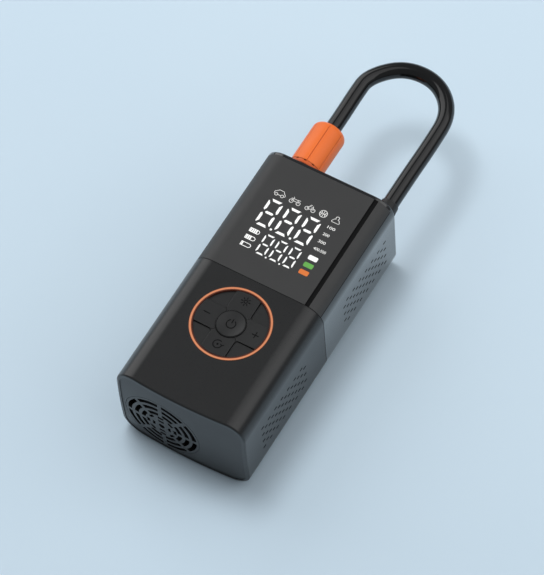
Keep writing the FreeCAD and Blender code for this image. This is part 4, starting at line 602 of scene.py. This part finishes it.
def mesh_from(bm: bmesh.types.BMesh, name: str) -> Mesh:
    """Write a bmesh to a mesh with flat faces that point outwards.

    Args:
        bm: The shape; it is freed.
        name: The mesh's name.

    Returns:
        The mesh.
    """
    bmesh.ops.recalc_face_normals(bm, faces=bm.faces)
    mesh = bpy.data.meshes.new(name)
    bm.to_mesh(mesh)
    bm.free()
    for face in mesh.polygons:
        face.use_smooth = False
    return mesh


def add_plate(bm: bmesh.types.BMesh, corners: list[Flat], low: float, high: float) -> None:
    """Add a flat plate to a bmesh.

    Args:
        bm: The bmesh that gets it.
        corners: Its outline in X and Y, in millimetres.
        low: Height of its underside.
        high: Height of its top.
    """
    verts = [bm.verts.new((x * MM, y * MM, low * MM)) for x, y in corners]
    face = bm.faces.new(verts)
    grown = bmesh.ops.extrude_face_region(bm, geom=[face])
    raised = [v for v in grown["geom"] if isinstance(v, bmesh.types.BMVert)]
    bmesh.ops.translate(bm, verts=raised, vec=(0, 0, (high - low) * MM))


def arc(x: float, y: float, radius: float, start: float, end: float, steps: int) -> list[Flat]:
    """Points on an arc, angles in degrees from +X.

    Args:
        x: Centre, across.
        y: Centre, along.
        radius: Radius.
        start: First angle.
        end: Last angle.
        steps: Number of runs.

    Returns:
        The points, from start to end.
    """
    turns = [math.radians(start + (end - start) * i / steps) for i in range(steps + 1)]
    return [(x + radius * math.cos(t), y + radius * math.sin(t)) for t in turns]


def circle(x: float, y: float, radius: float, corners: int = 12) -> list[Flat]:
    """Corners of a circle about its centre."""
    return arc(x, y, radius, 0, 360 - 360 / corners, corners - 1)


def rounded(x: float, y: float, width: float, height: float, radius: float,
            steps: int = 4) -> list[Flat]:
    """Outline of a rectangle with round corners, about its centre.

    Args:
        x: Centre, across.
        y: Centre, along.
        width: Size across.
        height: Size along.
        radius: Radius of its corners.
        steps: Number of runs in a corner.

    Returns:
        Its points.
    """
    inner_x, inner_y = width / 2 - radius, height / 2 - radius
    corners = ((inner_x, inner_y, 0), (-inner_x, inner_y, 90),
               (-inner_x, -inner_y, 180), (inner_x, -inner_y, 270))
    points = []
    for dx, dy, turn in corners:
        points += arc(x + dx, y + dy, radius, turn, turn + 90, steps)
    return points


@dataclass
class Stroke:
    """One line of a symbol, in millimetres about the symbol's own centre."""

    points: list[Flat]
    closed: bool = False


@dataclass
class Symbol:
    """A line symbol: strokes of one width, drawn at a place."""

    x: float
    y: float
    strokes: list[Stroke]
    width: float = 0.36

    def mesh(self, name: str, height: float, thickness: float) -> Mesh:
        """Make the strokes a flat mesh.

        Args:
            name: The mesh's name.
            height: Height of the middle of the strokes.
            thickness: How thick the strokes are.

        Returns:
            The mesh, in its place.
        """
        curve = bpy.data.curves.new(name, "CURVE")
        curve.dimensions = "3D"
        curve.bevel_depth = self.width / 2 * MM
        curve.bevel_resolution = 1
        curve.use_fill_caps = True
        for stroke in self.strokes:
            spline = curve.splines.new("POLY")
            spline.points.add(len(stroke.points) - 1)
            for point, (x, y) in zip(spline.points, stroke.points):
                point.co = (x * MM, y * MM, 0.0, 1.0)
            spline.use_cyclic_u = stroke.closed
        mesh = curve_mesh(curve, name)
        mesh.transform(Matrix.Diagonal((1.0, 1.0, thickness / self.width, 1.0)))
        mesh.transform(Matrix.Translation((self.x * MM, self.y * MM, height * MM)))
        return mesh


def curve_mesh(curve: bpy.types.Curve, name: str) -> Mesh:
    """Turn a curve or a text into a mesh of its own.

    Args:
        curve: The curve; it is removed.
        name: The mesh's name.

    Returns:
        The mesh.
    """
    holder = bpy.data.objects.new(name, curve)
    bpy.context.scene.collection.objects.link(holder)
    ready = holder.evaluated_get(bpy.context.evaluated_depsgraph_get())
    mesh = bpy.data.meshes.new_from_object(ready)
    bpy.data.objects.remove(holder)
    bpy.data.curves.remove(curve)
    mesh.name = name
    return mesh


def joined(meshes: list[Mesh], name: str) -> Mesh:
    """Join meshes into one.

    Args:
        meshes: The meshes.
        name: The new mesh's name.

    Returns:
        The new mesh.
    """
    bm = bmesh.new()
    for mesh in meshes:
        bm.from_mesh(mesh)
    return mesh_from(bm, name)


def lay_on(mesh: Mesh, carrier: str, lift: float) -> None:
    """Lower a flat mesh onto the CAD node that carries it.

    Args:
        mesh: A mesh whose middle plane is at height 0.
        carrier: The node below it.
        lift: Height of the middle plane above the node's surface, in millimetres.
    """
    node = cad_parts[carrier]
    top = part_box(carrier)[1].z + MM
    for vert in mesh.vertices:
        above = Vector((vert.co.x, vert.co.y, top))
        found, place, _, _ = node.ray_cast(above, Vector((0, 0, -1)))
        if found:
            vert.co.z += place.z + lift * MM


@dataclass
class Lamp:
    """An area lamp, in millimetres and watts.

    It is turned to the object, or rolled about the Y axis by a number of degrees. One that isn't
    seen in gloss lights the object all the same.
    """

    name: str
    place: tuple[float, float, float]
    width: float
    depth: float
    power: float
    roll: float | None = None
    in_gloss: bool = True

    def hang(self) -> None:
        """Hang the lamp in its place."""
        data = bpy.data.lights.new(self.name, "AREA")
        data.shape = "RECTANGLE"
        data.size = self.width * MM
        data.size_y = self.depth * MM
        data.energy = self.power
        lamp = bpy.data.objects.new(self.name, data)
        bpy.context.scene.collection.objects.link(lamp)
        lamp.location = Vector(self.place) * MM
        lamp.visible_glossy = self.in_gloss
        if self.roll is None:
            lamp.rotation_euler = (-lamp.location).to_track_quat("-Z", "Y").to_euler()
        else:
            lamp.rotation_euler = Euler((0.0, math.radians(self.roll), 0.0))


@dataclass
class Studio:
    """Camera at the photograph's angle, pale floor and soft light."""

    camera_place: tuple[float, float, float] = (520.72, -713.81, 1543.7)
    camera_turn: tuple[float, float, float] = (30.531, 3.038, 30.479)
    focal_pixels: float = 3483.1
    sight_metres: float = 100.0
    floor_half: float = 12000.0
    floor_cells: int = 8
    floor_gap: float = 0.05
    room_light: float = 0.19
    room_colour: str = "#FBFDFF"
    backdrop: str = "#808488"
    lamps: list[Lamp] = field(default_factory=lambda: [
        Lamp("key_lamp", (-480.0, 300.0, 1915.0), 700.0, 700.0, 16.0, in_gloss=False),
        Lamp("left_bank", (-1556.0, 850.0, 1090.0), 1772.0, 2000.0, 14.0, roll=-55.0),
        Lamp("middle_bank", (165.6, 850.0, 1893.0), 877.0, 2000.0, 3.9, roll=5.0),
        Lamp("right_bank", (1196.0, 850.0, 1477.0), 1459.0, 2000.0, 8.8, roll=39.0),
        Lamp("low_lamp", (1300.0, 300.0, 500.0), 1400.0, 800.0, 3.2, in_gloss=False),
    ])

    def build(self) -> None:
        """Set up the whole studio."""
        scene = bpy.context.scene
        scene.view_settings.view_transform = "Standard"
        self.set_camera()
        self.lay_floor()
        for lamp in self.lamps:
            lamp.hang()
        self.light_room()

    def set_camera(self) -> None:
        """Place the camera."""
        data = bpy.data.cameras.new("camera")
        data.sensor_width = SENSOR_HEIGHT
        data.lens = self.focal_pixels / PHOTO_HEIGHT * SENSOR_HEIGHT
        data.clip_end = self.sight_metres
        camera = bpy.data.objects.new("camera", data)
        bpy.context.scene.collection.objects.link(camera)
        camera.location = Vector(self.camera_place) * MM
        camera.rotation_euler = Euler([math.radians(a) for a in self.camera_turn])
        bpy.context.scene.camera = camera

    def lay_floor(self) -> None:
        """Lay the floor just under the back face."""
        bm = bmesh.new()
        bmesh.ops.create_grid(bm, x_segments=self.floor_cells, y_segments=self.floor_cells,
                              size=self.floor_half * MM)
        bmesh.ops.translate(bm, verts=bm.verts, vec=(0, 0, -self.floor_gap * MM))
        floor = finish_piece(mesh_from(bm, "floor"), FLOOR_PAINT, "floor")

    def light_room(self) -> None:
        """Light the room evenly, and show a backdrop to the camera, in gloss and through glass."""
        world = bpy.data.worlds.new("room")
        bpy.context.scene.world = world
        world.use_nodes = True
        tree = world.node_tree
        tree.nodes.clear()
        seen = add_node(tree, "Background", {"Color": linear(self.backdrop), "Strength": 1.0})
        light = add_node(tree, "Background", {
            "Color": linear(self.room_colour), "Strength": self.room_light})
        ray = add_node(tree, "LightPath")
        through = add_node(tree, "Math", {
            0: ray.outputs["Is Glossy Ray"], 1: ray.outputs["Is Transmission Ray"]}, operation="MAXIMUM")
        shown = add_node(tree, "Math", {
            0: ray.outputs["Is Camera Ray"], 1: through.outputs[0]}, operation="MAXIMUM")
        mix = add_node(tree, "MixShader", {
            0: shown.outputs[0], 1: light.outputs[0], 2: seen.outputs[0]})
        add_node(tree, "OutputWorld", {"Surface": mix.outputs[0]})


@dataclass
class Hose:
    """The air hose: out of the collar, round in a loop, and back into the docked chuck."""

    diameter: float = 8.6
    length: float = 156.8
    height: float = 47.0
    runs: int = 24
    ring_runs: int = 10
    route: list[Flat] = field(default_factory=lambda: [
        (31.6, 78.4), (31.6, 97.0), (32.1, 118.5), (31.6, 140.78), (17.48, 154.9),
        (-2.48, 154.9), (-16.6, 140.78), (-16.9, 128.0), (-16.6, 115.5), (-16.6, 103.0)])

    def spline_curve(self, name: str, bevel: float) -> bpy.types.Curve:
        """Make the route's NURBS curve.

        Args:
            name: The curve's name.
            bevel: Radius of the tube about it, 0 for the bare line.

        Returns:
            The curve.
        """
        curve = bpy.data.curves.new(name, "CURVE")
        curve.dimensions = "3D"
        curve.resolution_u = self.runs
        curve.bevel_depth = bevel
        curve.bevel_resolution = self.ring_runs
        spline = curve.splines.new("NURBS")
        spline.points.add(len(self.route) - 1)
        for point, (x, y) in zip(spline.points, self.route):
            point.co = (x * MM, y * MM, self.height * MM, 1.0)
        spline.order_u = 3
        spline.use_endpoint_u = True
        return curve

    def build(self) -> None:
        line = curve_mesh(self.spline_curve("hose_line", 0.0), "hose_line")
        bpy.data.meshes.remove(line)
        mesh = curve_mesh(self.spline_curve("air_hose", self.diameter / 2 * MM), "air_hose")
        for face in mesh.polygons:
            face.use_smooth = True
        hose = finish_piece(mesh, HOSE_RUBBER, "hose_tube")
        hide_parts("air_hose")
        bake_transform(hose)


@dataclass(frozen=True)
class DigitRow:
    """A row of digits with all segments lit, and round points between them."""

    name: str
    y: float
    width: float
    height: float
    bar: float
    places: tuple[float, ...]
    point_y: float
    point_radius: float
    points: tuple[float, ...]

    def digit(self) -> list[list[Flat]]:
        """Outlines of a digit's seven segments, about its centre.

        The corners are shares of half the digit's width and height, and of its bar.

        Returns:
            Their corners, in millimetres.
        """
        across, along, bar = self.width / 2, self.height / 2, self.bar
        edge = across * 0.69
        level = [(-edge, along), (edge, along),
                 (edge - bar * 0.7, along - bar), (-edge + bar * 0.7, along - bar)]
        middle = [(-across * 0.58, 0.0), (-across * 0.4, bar / 2), (across * 0.4, bar / 2),
                  (across * 0.58, 0.0), (across * 0.4, -bar / 2), (-across * 0.4, -bar / 2)]
        side = [(-across, along * 0.82), (-across * 0.88, along * 0.82),
                (-across + bar, along * 0.65), (-across + bar, along * 0.26),
                (-across + bar * 0.52, along * 0.09), (-across, along * 0.17)]
        shapes = [middle]
        for flip in (1, -1):
            shapes.append([(x, y * flip) for x, y in level])
            for turn in (1, -1):
                shapes.append([(x * turn, y * flip) for x, y in side])
        return shapes

    def outlines(self) -> list[list[Flat]]:
        """Outlines of the row's segments and points.

        Returns:
            Their corners, in millimetres.
        """
        digit = self.digit()
        shapes = [[(at + x, self.y + y) for x, y in shape] for at in self.places for shape in digit]
        return shapes + [circle(x, self.point_y, self.point_radius) for x in self.points]


@dataclass(frozen=True)
class BatteryMark:
    """An outlined battery that lies on its side, with some of its four stripes."""

    y: float
    stripes: int
    left: float = -19.8
    body: float = 4.9
    height: float = 2.5
    line: float = 0.36
    nose: float = 0.85
    nose_half: float = 0.55
    nose_inside: float = 0.35
    shoulder: float = 0.6
    stripe_share: float = 0.74
    stripe_corner: float = 0.1

    def outlines(self) -> list[list[Flat]]:
        """Outlines of the stripes and of the six sides of the line round them.

        Returns:
            Their corners, in millimetres.
        """
        left, right, line, half = self.left, self.left + self.body, self.line, self.height / 2
        pitch = (self.body - 2 * line) / 4
        shapes = [rounded(left + line + pitch * (i + 0.5), self.y, pitch * self.stripe_share,
                          self.height - 2 * line, self.stripe_corner) for i in range(self.stripes)]
        nose, neck = right + self.nose, right - line * self.shoulder
        outside = [(left, -half), (right, -half), (nose, -self.nose_half),
                   (nose, self.nose_half), (right, half), (left, half)]
        inside = [(left + line, line - half), (neck, line - half), (nose - line, -self.nose_inside),
                  (nose - line, self.nose_inside), (neck, half - line), (left + line, half - line)]
        outside, inside = ([(x, self.y + y) for x, y in ring] for ring in (outside, inside))
        for i in range(6):
            after = (i + 1) % 6
            shapes.append([outside[i], outside[after], inside[after], inside[i]])
        return shapes


@dataclass
class Display:
    """Lit marks of the display, seen through the front panel."""

    lift: float = 0.03
    rows: tuple[DigitRow, ...] = (
        DigitRow("large_digits", 39.5, 8.2, 16.8, 1.46, (-15.85, -4.8, 6.25), 31.7, 0.65, (-10.3, 0.8)),
        DigitRow("small_digits", 22.5, 5.7, 12.4, 0.94, (-8.1, -0.4, 7.4), 16.3, 0.5, (-4.2, 3.6)))
    bar_x: float = 16.85
    bar_corner: float = 0.7
    bars: tuple[tuple[str, float, float, float, Finish], ...] = (
        ("white_bar", 27.1, 5.2, 2.7, WHITE_LIGHT), ("green_bar", 22.5, 5.3, 2.8, GREEN_LIGHT),
        ("orange_bar", 17.9, 5.3, 2.8, ORANGE_LIGHT))
    batteries: tuple[BatteryMark, ...] = (
        BatteryMark(27.0, 4), BatteryMark(22.55, 3), BatteryMark(18.1, 1))
    number_rows: tuple[tuple[str, float, float], ...] = (
        ("100", 46.8, 4.3), ("200", 42.2, 3.6), ("300", 37.5, 4.1), ("400:500", 32.8, 7.0))
    number_left: float = 13.9
    number_height: float = 1.6
    number_weight: float = 0.008

    def surface(self) -> float:
        """Height of the panel's front face."""
        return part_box("front_panel")[1].z / MM

    def show(self, name: str, shapes: list[list[Flat]], finish: Finish) -> None:
        """Build a group of flat lit windows.

        Args:
            name: The piece's name.
            shapes: Their outlines.
            finish: Their finish.
        """
        bm = bmesh.new()
        top = self.surface()
        for shape in shapes:
            add_plate(bm, shape, top - self.lift, top + self.lift)
        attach(finish_piece(mesh_from(bm, name), finish, name), Body.CASE.value)

    def build(self) -> None:
        """Build every mark of the display."""
        for row in self.rows:
            self.show(row.name, row.outlines(), WHITE_LIGHT)
        for name, y, width, height, finish in self.bars:
            self.show(name, [rounded(self.bar_x, y, width, height, self.bar_corner)], finish)
        self.show("battery_marks", [s for mark in self.batteries for s in mark.outlines()], BATTERY_LIGHT)
        self.build_outlines()
        self.build_numbers()

    def symbols(self) -> list[Symbol]:
        """Line drawings of what the pump fills.

        Returns:
            A car, a motorcycle, a bicycle, a ball and a float.
        """
        car = Symbol(-16.85, 52.2, [
            Stroke([(-3.0, -0.9), (-3.1, 0.4), (-2.2, 0.9), (-1.2, 1.9), (1.3, 1.9), (2.3, 0.6),
                    (3.1, 0.1), (3.0, -0.9), (2.4, -0.95)]),
            Stroke([(-1.0, -0.95), (0.9, -0.95)]),
            Stroke(circle(-1.75, -1.0, 0.8), True), Stroke(circle(1.65, -1.0, 0.8), True)])
        motorcycle = Symbol(-7.9, 52.2, [
            Stroke(circle(-2.0, -0.9, 1.05), True), Stroke(circle(2.0, -0.9, 1.05), True),
            Stroke([(-2.0, -0.9), (-1.2, 0.8), (1.0, 0.8), (2.0, -0.9)]),
            Stroke([(-2.6, 0.7), (-1.2, 0.8), (-1.6, 1.8)]), Stroke([(1.0, 0.8), (2.6, 1.1)]),
            Stroke([(-1.0, -0.4), (0.8, -0.4)])])
        bicycle = Symbol(1.0, 52.2, [
            Stroke(circle(-1.75, -0.9, 1.05), True), Stroke(circle(1.75, -0.9, 1.05), True),
            Stroke([(-1.75, -0.9), (-0.9, 0.8), (1.0, 0.8), (0.0, -0.9), (-1.75, -0.9)]),
            Stroke([(-0.9, 0.8), (-0.6, 1.7), (0.1, 1.7)]), Stroke([(1.75, -0.9), (0.8, 1.4)])])
        ball = Symbol(8.3, 52.3, [
            Stroke(circle(0, 0, 2.05, 24), True), Stroke([(-2.05, 0), (2.05, 0)]),
            Stroke([(0, -2.05), (0, 2.05)]), Stroke(arc(-2.6, 0, 1.7, -48, 48, 8)),
            Stroke(arc(2.6, 0, 1.7, 132, 228, 8))])
        swim = Symbol(16.0, 52.2, [
            Stroke(arc(0, 1.15, 0.9, -55, 235, 14)),
            Stroke([(-0.5, 0.4), (-1.4, 0.1), (-2.2, -1.3), (-1.9, -1.8), (1.9, -1.8), (2.2, -1.3),
                    (1.4, 0.1), (0.5, 0.4)])])
        return [car, motorcycle, bicycle, ball, swim]

    def build_outlines(self) -> None:
        """Build the line drawings as one piece."""
        meshes = [s.mesh("drawing", self.surface(), 2 * self.lift) for s in self.symbols()]
        mesh = joined(meshes, "fill_drawings")
        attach(finish_piece(mesh, MARK_LIGHT, "fill_drawings"), Body.CASE.value)

    def build_numbers(self) -> None:
        """Build the rows of small plain numbers right of the digits."""
        meshes = []
        for text, row, width in self.number_rows:
            letters = bpy.data.curves.new("number", "FONT")
            letters.body = text
            letters.extrude = 0.5
            letters.offset = self.number_weight
            mesh = curve_mesh(letters, "number")
            low, high = [Vector(f(v.co[i] for v in mesh.vertices) for i in range(3))
                         for f in (min, max)]
            mesh.transform(Matrix.Translation(-(low + high) / 2))
            mesh.transform(Matrix.Diagonal((
                width * MM / (high.x - low.x), self.number_height * MM / (high.y - low.y),
                2 * self.lift * MM, 1.0)))
            place = Vector((self.number_left + width / 2, row, self.surface()))
            mesh.transform(Matrix.Translation(place * MM))
            meshes.append(mesh)
        mesh = joined(meshes, "small_numbers")
        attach(finish_piece(mesh, MARK_LIGHT, "small_numbers"), Body.CASE.value)


@dataclass
class Keypad:
    """Keys, their base, the lit ring, the printed marks on the keys, and a ring of painted shade round
    the power key.
    """

    lift: float = 0.02
    line: float = 0.55
    fine_line: float = 0.5
    gap_shade_radius: float = 7.4
    gap_shade_line: float = 0.3

    def symbols(self) -> list[tuple[str, str, Body, Symbol]]:
        """Printed marks of the keys, and a ring of painted shade in the gap round the power key.

        Returns:
            Their names, each with the key node and the body that it is on, and its drawing.
        """
        y = RING_Y
        rays = [Stroke([arc(0, 0, 1.4, turn, turn, 1)[0], arc(0, 0, 2.6, turn, turn, 1)[0]])
                for turn in range(0, 360, 45)]
        sun = Symbol(0.0, y + 14.4, [Stroke(circle(0, 0, 0.85), True)] + rays, self.fine_line)
        across, along = Stroke([(-1.9, 0), (1.9, 0)]), Stroke([(0, -1.9), (0, 1.9)])
        minus = Symbol(-13.9, y + 0.1, [across], self.line)
        plus = Symbol(13.9, y + 0.2, [across, along], self.line)
        power = Symbol(0.0, y + 0.1, [
            Stroke(arc(0, 0, 2.4, 120, 420, 24)), Stroke([(0, 0.6), (0, 3.0)])], self.line)
        turn = Symbol(0.0, y - 12.9, [
            Stroke(arc(0, 0, 2.3, 60, 360, 22)), Stroke([(1.3, 0.7), (2.3, 0.0), (3.2, 0.8)]),
            Stroke(circle(0, 0, 0.3), True)], self.line)
        # Painted shade: a dark ring on the power key's edge, for the shadow in the gap round it.
        gap_shade = Symbol(0.0, y, [Stroke(circle(0, 0, self.gap_shade_radius, 72), True)], self.gap_shade_line)
        return [("light_key_symbol", "light_key", Body.LIGHT_KEY, sun),
                ("minus_key_symbol", "minus_key", Body.MINUS_KEY, minus),
                ("plus_key_symbol", "plus_key", Body.PLUS_KEY, plus),
                ("power_key_symbol", "power_key", Body.POWER_KEY, power),
                ("power_key_gap_shade", "power_key", Body.POWER_KEY, gap_shade),
                ("mode_key_symbol", "mode_key", Body.MODE_KEY, turn)]

    def build(self) -> None:
        """Dress the keypad and lay its marks on the keys."""
        dress_nodes(KEY_ABS, "power_key", "light_key", "minus_key", "plus_key", "mode_key",
                    "keypad_base")
        dress_nodes(RING_ACRYLIC, "keypad_ring")
        dress_nodes(SILICONE, "key_membrane")
        dress_nodes(EPOXY, "key_switches")
        dress_nodes(BOARD_LAMINATE, "key_board")
        for name, key, body, symbol in self.symbols():
            mesh = symbol.mesh(name, 0.0, 2 * self.lift)
            lay_on(mesh, key, self.lift / 2)
            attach(finish_piece(mesh, KEY_INK, name), body.value)


@dataclass
class Case:
    """Outer case: the sleeve of the fan half, the shell of the hose half and their inserts."""

    half_width: float = 37.0
    corner: float = 10.6
    seam: float = 2.0
    joint_shade_width: float = 0.4
    joint_shade_depth: float = 0.4
    joint_shade_proud: float = 0.02
    joint_shade_edge: float = 0.06
    seam_sunk: float = 0.12
    corner_runs: int = 24

    def build(self) -> None:
        """Dress the case and lay the dark strips of painted shade in its joints."""
        dress_nodes(SLEEVE_ABS, "lower_sleeve")
        dress_nodes(CAP_ABS, "fan_end_cap", "fan_grille")
        dress_nodes(SHELL_ABS, "upper_shell", "hose_end_cap")
        dress_nodes(PANEL_POLYCARBONATE, "front_panel")
        dress_nodes(STRIP_RUBBER, "trim_strip")
        dress_nodes(BLACK_NYLON, "hose_collar", "dock_post")
        dress_nodes(CLEAR_ACRYLIC, "lamp_lens")
        dress_nodes(PLATED_STEEL, "usb_socket")
        # Painted shade: dark strips laid in the joints, where a shadow line falls.
        for mesh in (self.panel_joint_shades(), self.seam_joint_shade()):
            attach(finish_piece(mesh, STRIP_RUBBER, mesh.name), Body.CASE.value)

    def panel_joint_shades(self) -> Mesh:
        """Make the two thin dark strips of painted shade that lie in the joints beside the front panel.

        Returns:
            Their mesh.
        """
        low, high = (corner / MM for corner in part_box("front_panel"))
        turn = math.acos(1 - (high.z - low.z) / self.corner)
        reach = self.corner - self.joint_shade_depth / 2 + self.joint_shade_proud
        bm = bmesh.new()
        for side in (-1, 1):
            bar = bmesh.ops.create_cube(bm, size=MM)["verts"]
            bmesh.ops.scale(bm, verts=bar, vec=(self.joint_shade_width, high.y - low.y, self.joint_shade_depth))
            bmesh.ops.rotate(bm, verts=bar, matrix=Matrix.Rotation(turn * side, 3, "Y"))
            place = Vector((side * (self.half_width - self.corner + reach * math.sin(turn)),
                            (low.y + high.y) / 2, high.z - self.corner + reach * math.cos(turn)))
            bmesh.ops.translate(bm, verts=bar, vec=place * MM)
        bmesh.ops.bevel(bm, geom=bm.edges[:], offset=self.joint_shade_edge * MM, segments=2, profile=0.5,
                        affect="EDGES", material=-1)
        return mesh_from(bm, "panel_joint_shades")

    def seam_joint_shade(self) -> Mesh:
        """Make the thin dark strip of painted shade that runs round the case in the seam between its
        halves.

        Returns:
            Its mesh.
        """
        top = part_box("front_panel")[1].z / MM
        near = self.seam - self.joint_shade_width / 2
        bm = bmesh.new()
        edges = []
        for inset in (self.seam_sunk, self.seam_sunk + self.joint_shade_depth):
            outline = rounded(0.0, top / 2, 2 * (self.half_width - inset), top - 2 * inset,
                              self.corner - inset, self.corner_runs)
            verts = [bm.verts.new((x * MM, near * MM, z * MM)) for x, z in outline]
            edges += [bm.edges.new((verts[i - 1], verts[i])) for i in range(len(verts))]
        faces = bmesh.ops.bridge_loops(bm, edges=edges)["faces"]
        grown = bmesh.ops.extrude_face_region(bm, geom=faces)["geom"]
        far = [v for v in grown if isinstance(v, bmesh.types.BMVert)]
        bmesh.ops.translate(bm, verts=far, vec=(0, self.joint_shade_width * MM, 0))
        return mesh_from(bm, "seam_joint_shade")


@dataclass
class Chuck:
    """Valve chuck at the hose's end."""

    def build(self) -> None:
        """Dress the chuck."""
        dress_nodes(CHUCK_ABS, "chuck_sleeve")
        dress_nodes(RING_ABS, "chuck_lock_ring")
        dress_nodes(TURNED_BRASS, "chuck_core", "hose_fitting")
        dress_nodes(SILICONE, "chuck_seal")


@dataclass
class Drive:
    """Motor, fan, gears and pump."""

    def build(self) -> None:
        """Dress the drive."""
        dress_nodes(PLATED_STEEL, "motor_can", "motor_shaft", "motor_screws", "crank_pin", "gear_axle",
                    "wrist_pin", "head_screws", "reed_valve", "pinion")
        dress_nodes(BLACK_NYLON, "motor_end_bell", "cooling_fan")
        dress_nodes(FERRITE, "motor_magnets")
        dress_nodes(CORE_STEEL, "motor_armature")
        dress_nodes(ACETAL, "crank_gear", "connecting_rod", "piston")
        dress_nodes(SILICONE, "piston_seal", "head_gasket", "delivery_tube")
        dress_nodes(CAST_ALUMINIUM, "gearbox_bracket", "cylinder", "cylinder_head")


@dataclass
class Power:
    """Cells, boards and what is soldered to them."""

    def build(self) -> None:
        """Dress the cells and boards."""
        dress_nodes(BLACK_NYLON, "battery_tray", "segment_display")
        dress_nodes(CELL_WRAP, "battery_cell_1", "battery_cell_2", "battery_cell_3")
        dress_nodes(PLATED_STEEL, "cell_tabs")
        dress_nodes(BOARD_LAMINATE, "main_board", "display_board", "lamp_board")
        dress_nodes(EPOXY, "board_parts", "pressure_sensor")


def main() -> None:
    """Build the studio and the object's looks, in order."""
    logging.basicConfig(level=logging.INFO, format="%(name)s %(message)s")
    for part in (Studio(), Hose(), Case(), Chuck(), Display(), Keypad(), Drive(), Power()):
        LOG.info("building %s", type(part).__name__)
        part.build()


if __name__ == "__main__":
    main()
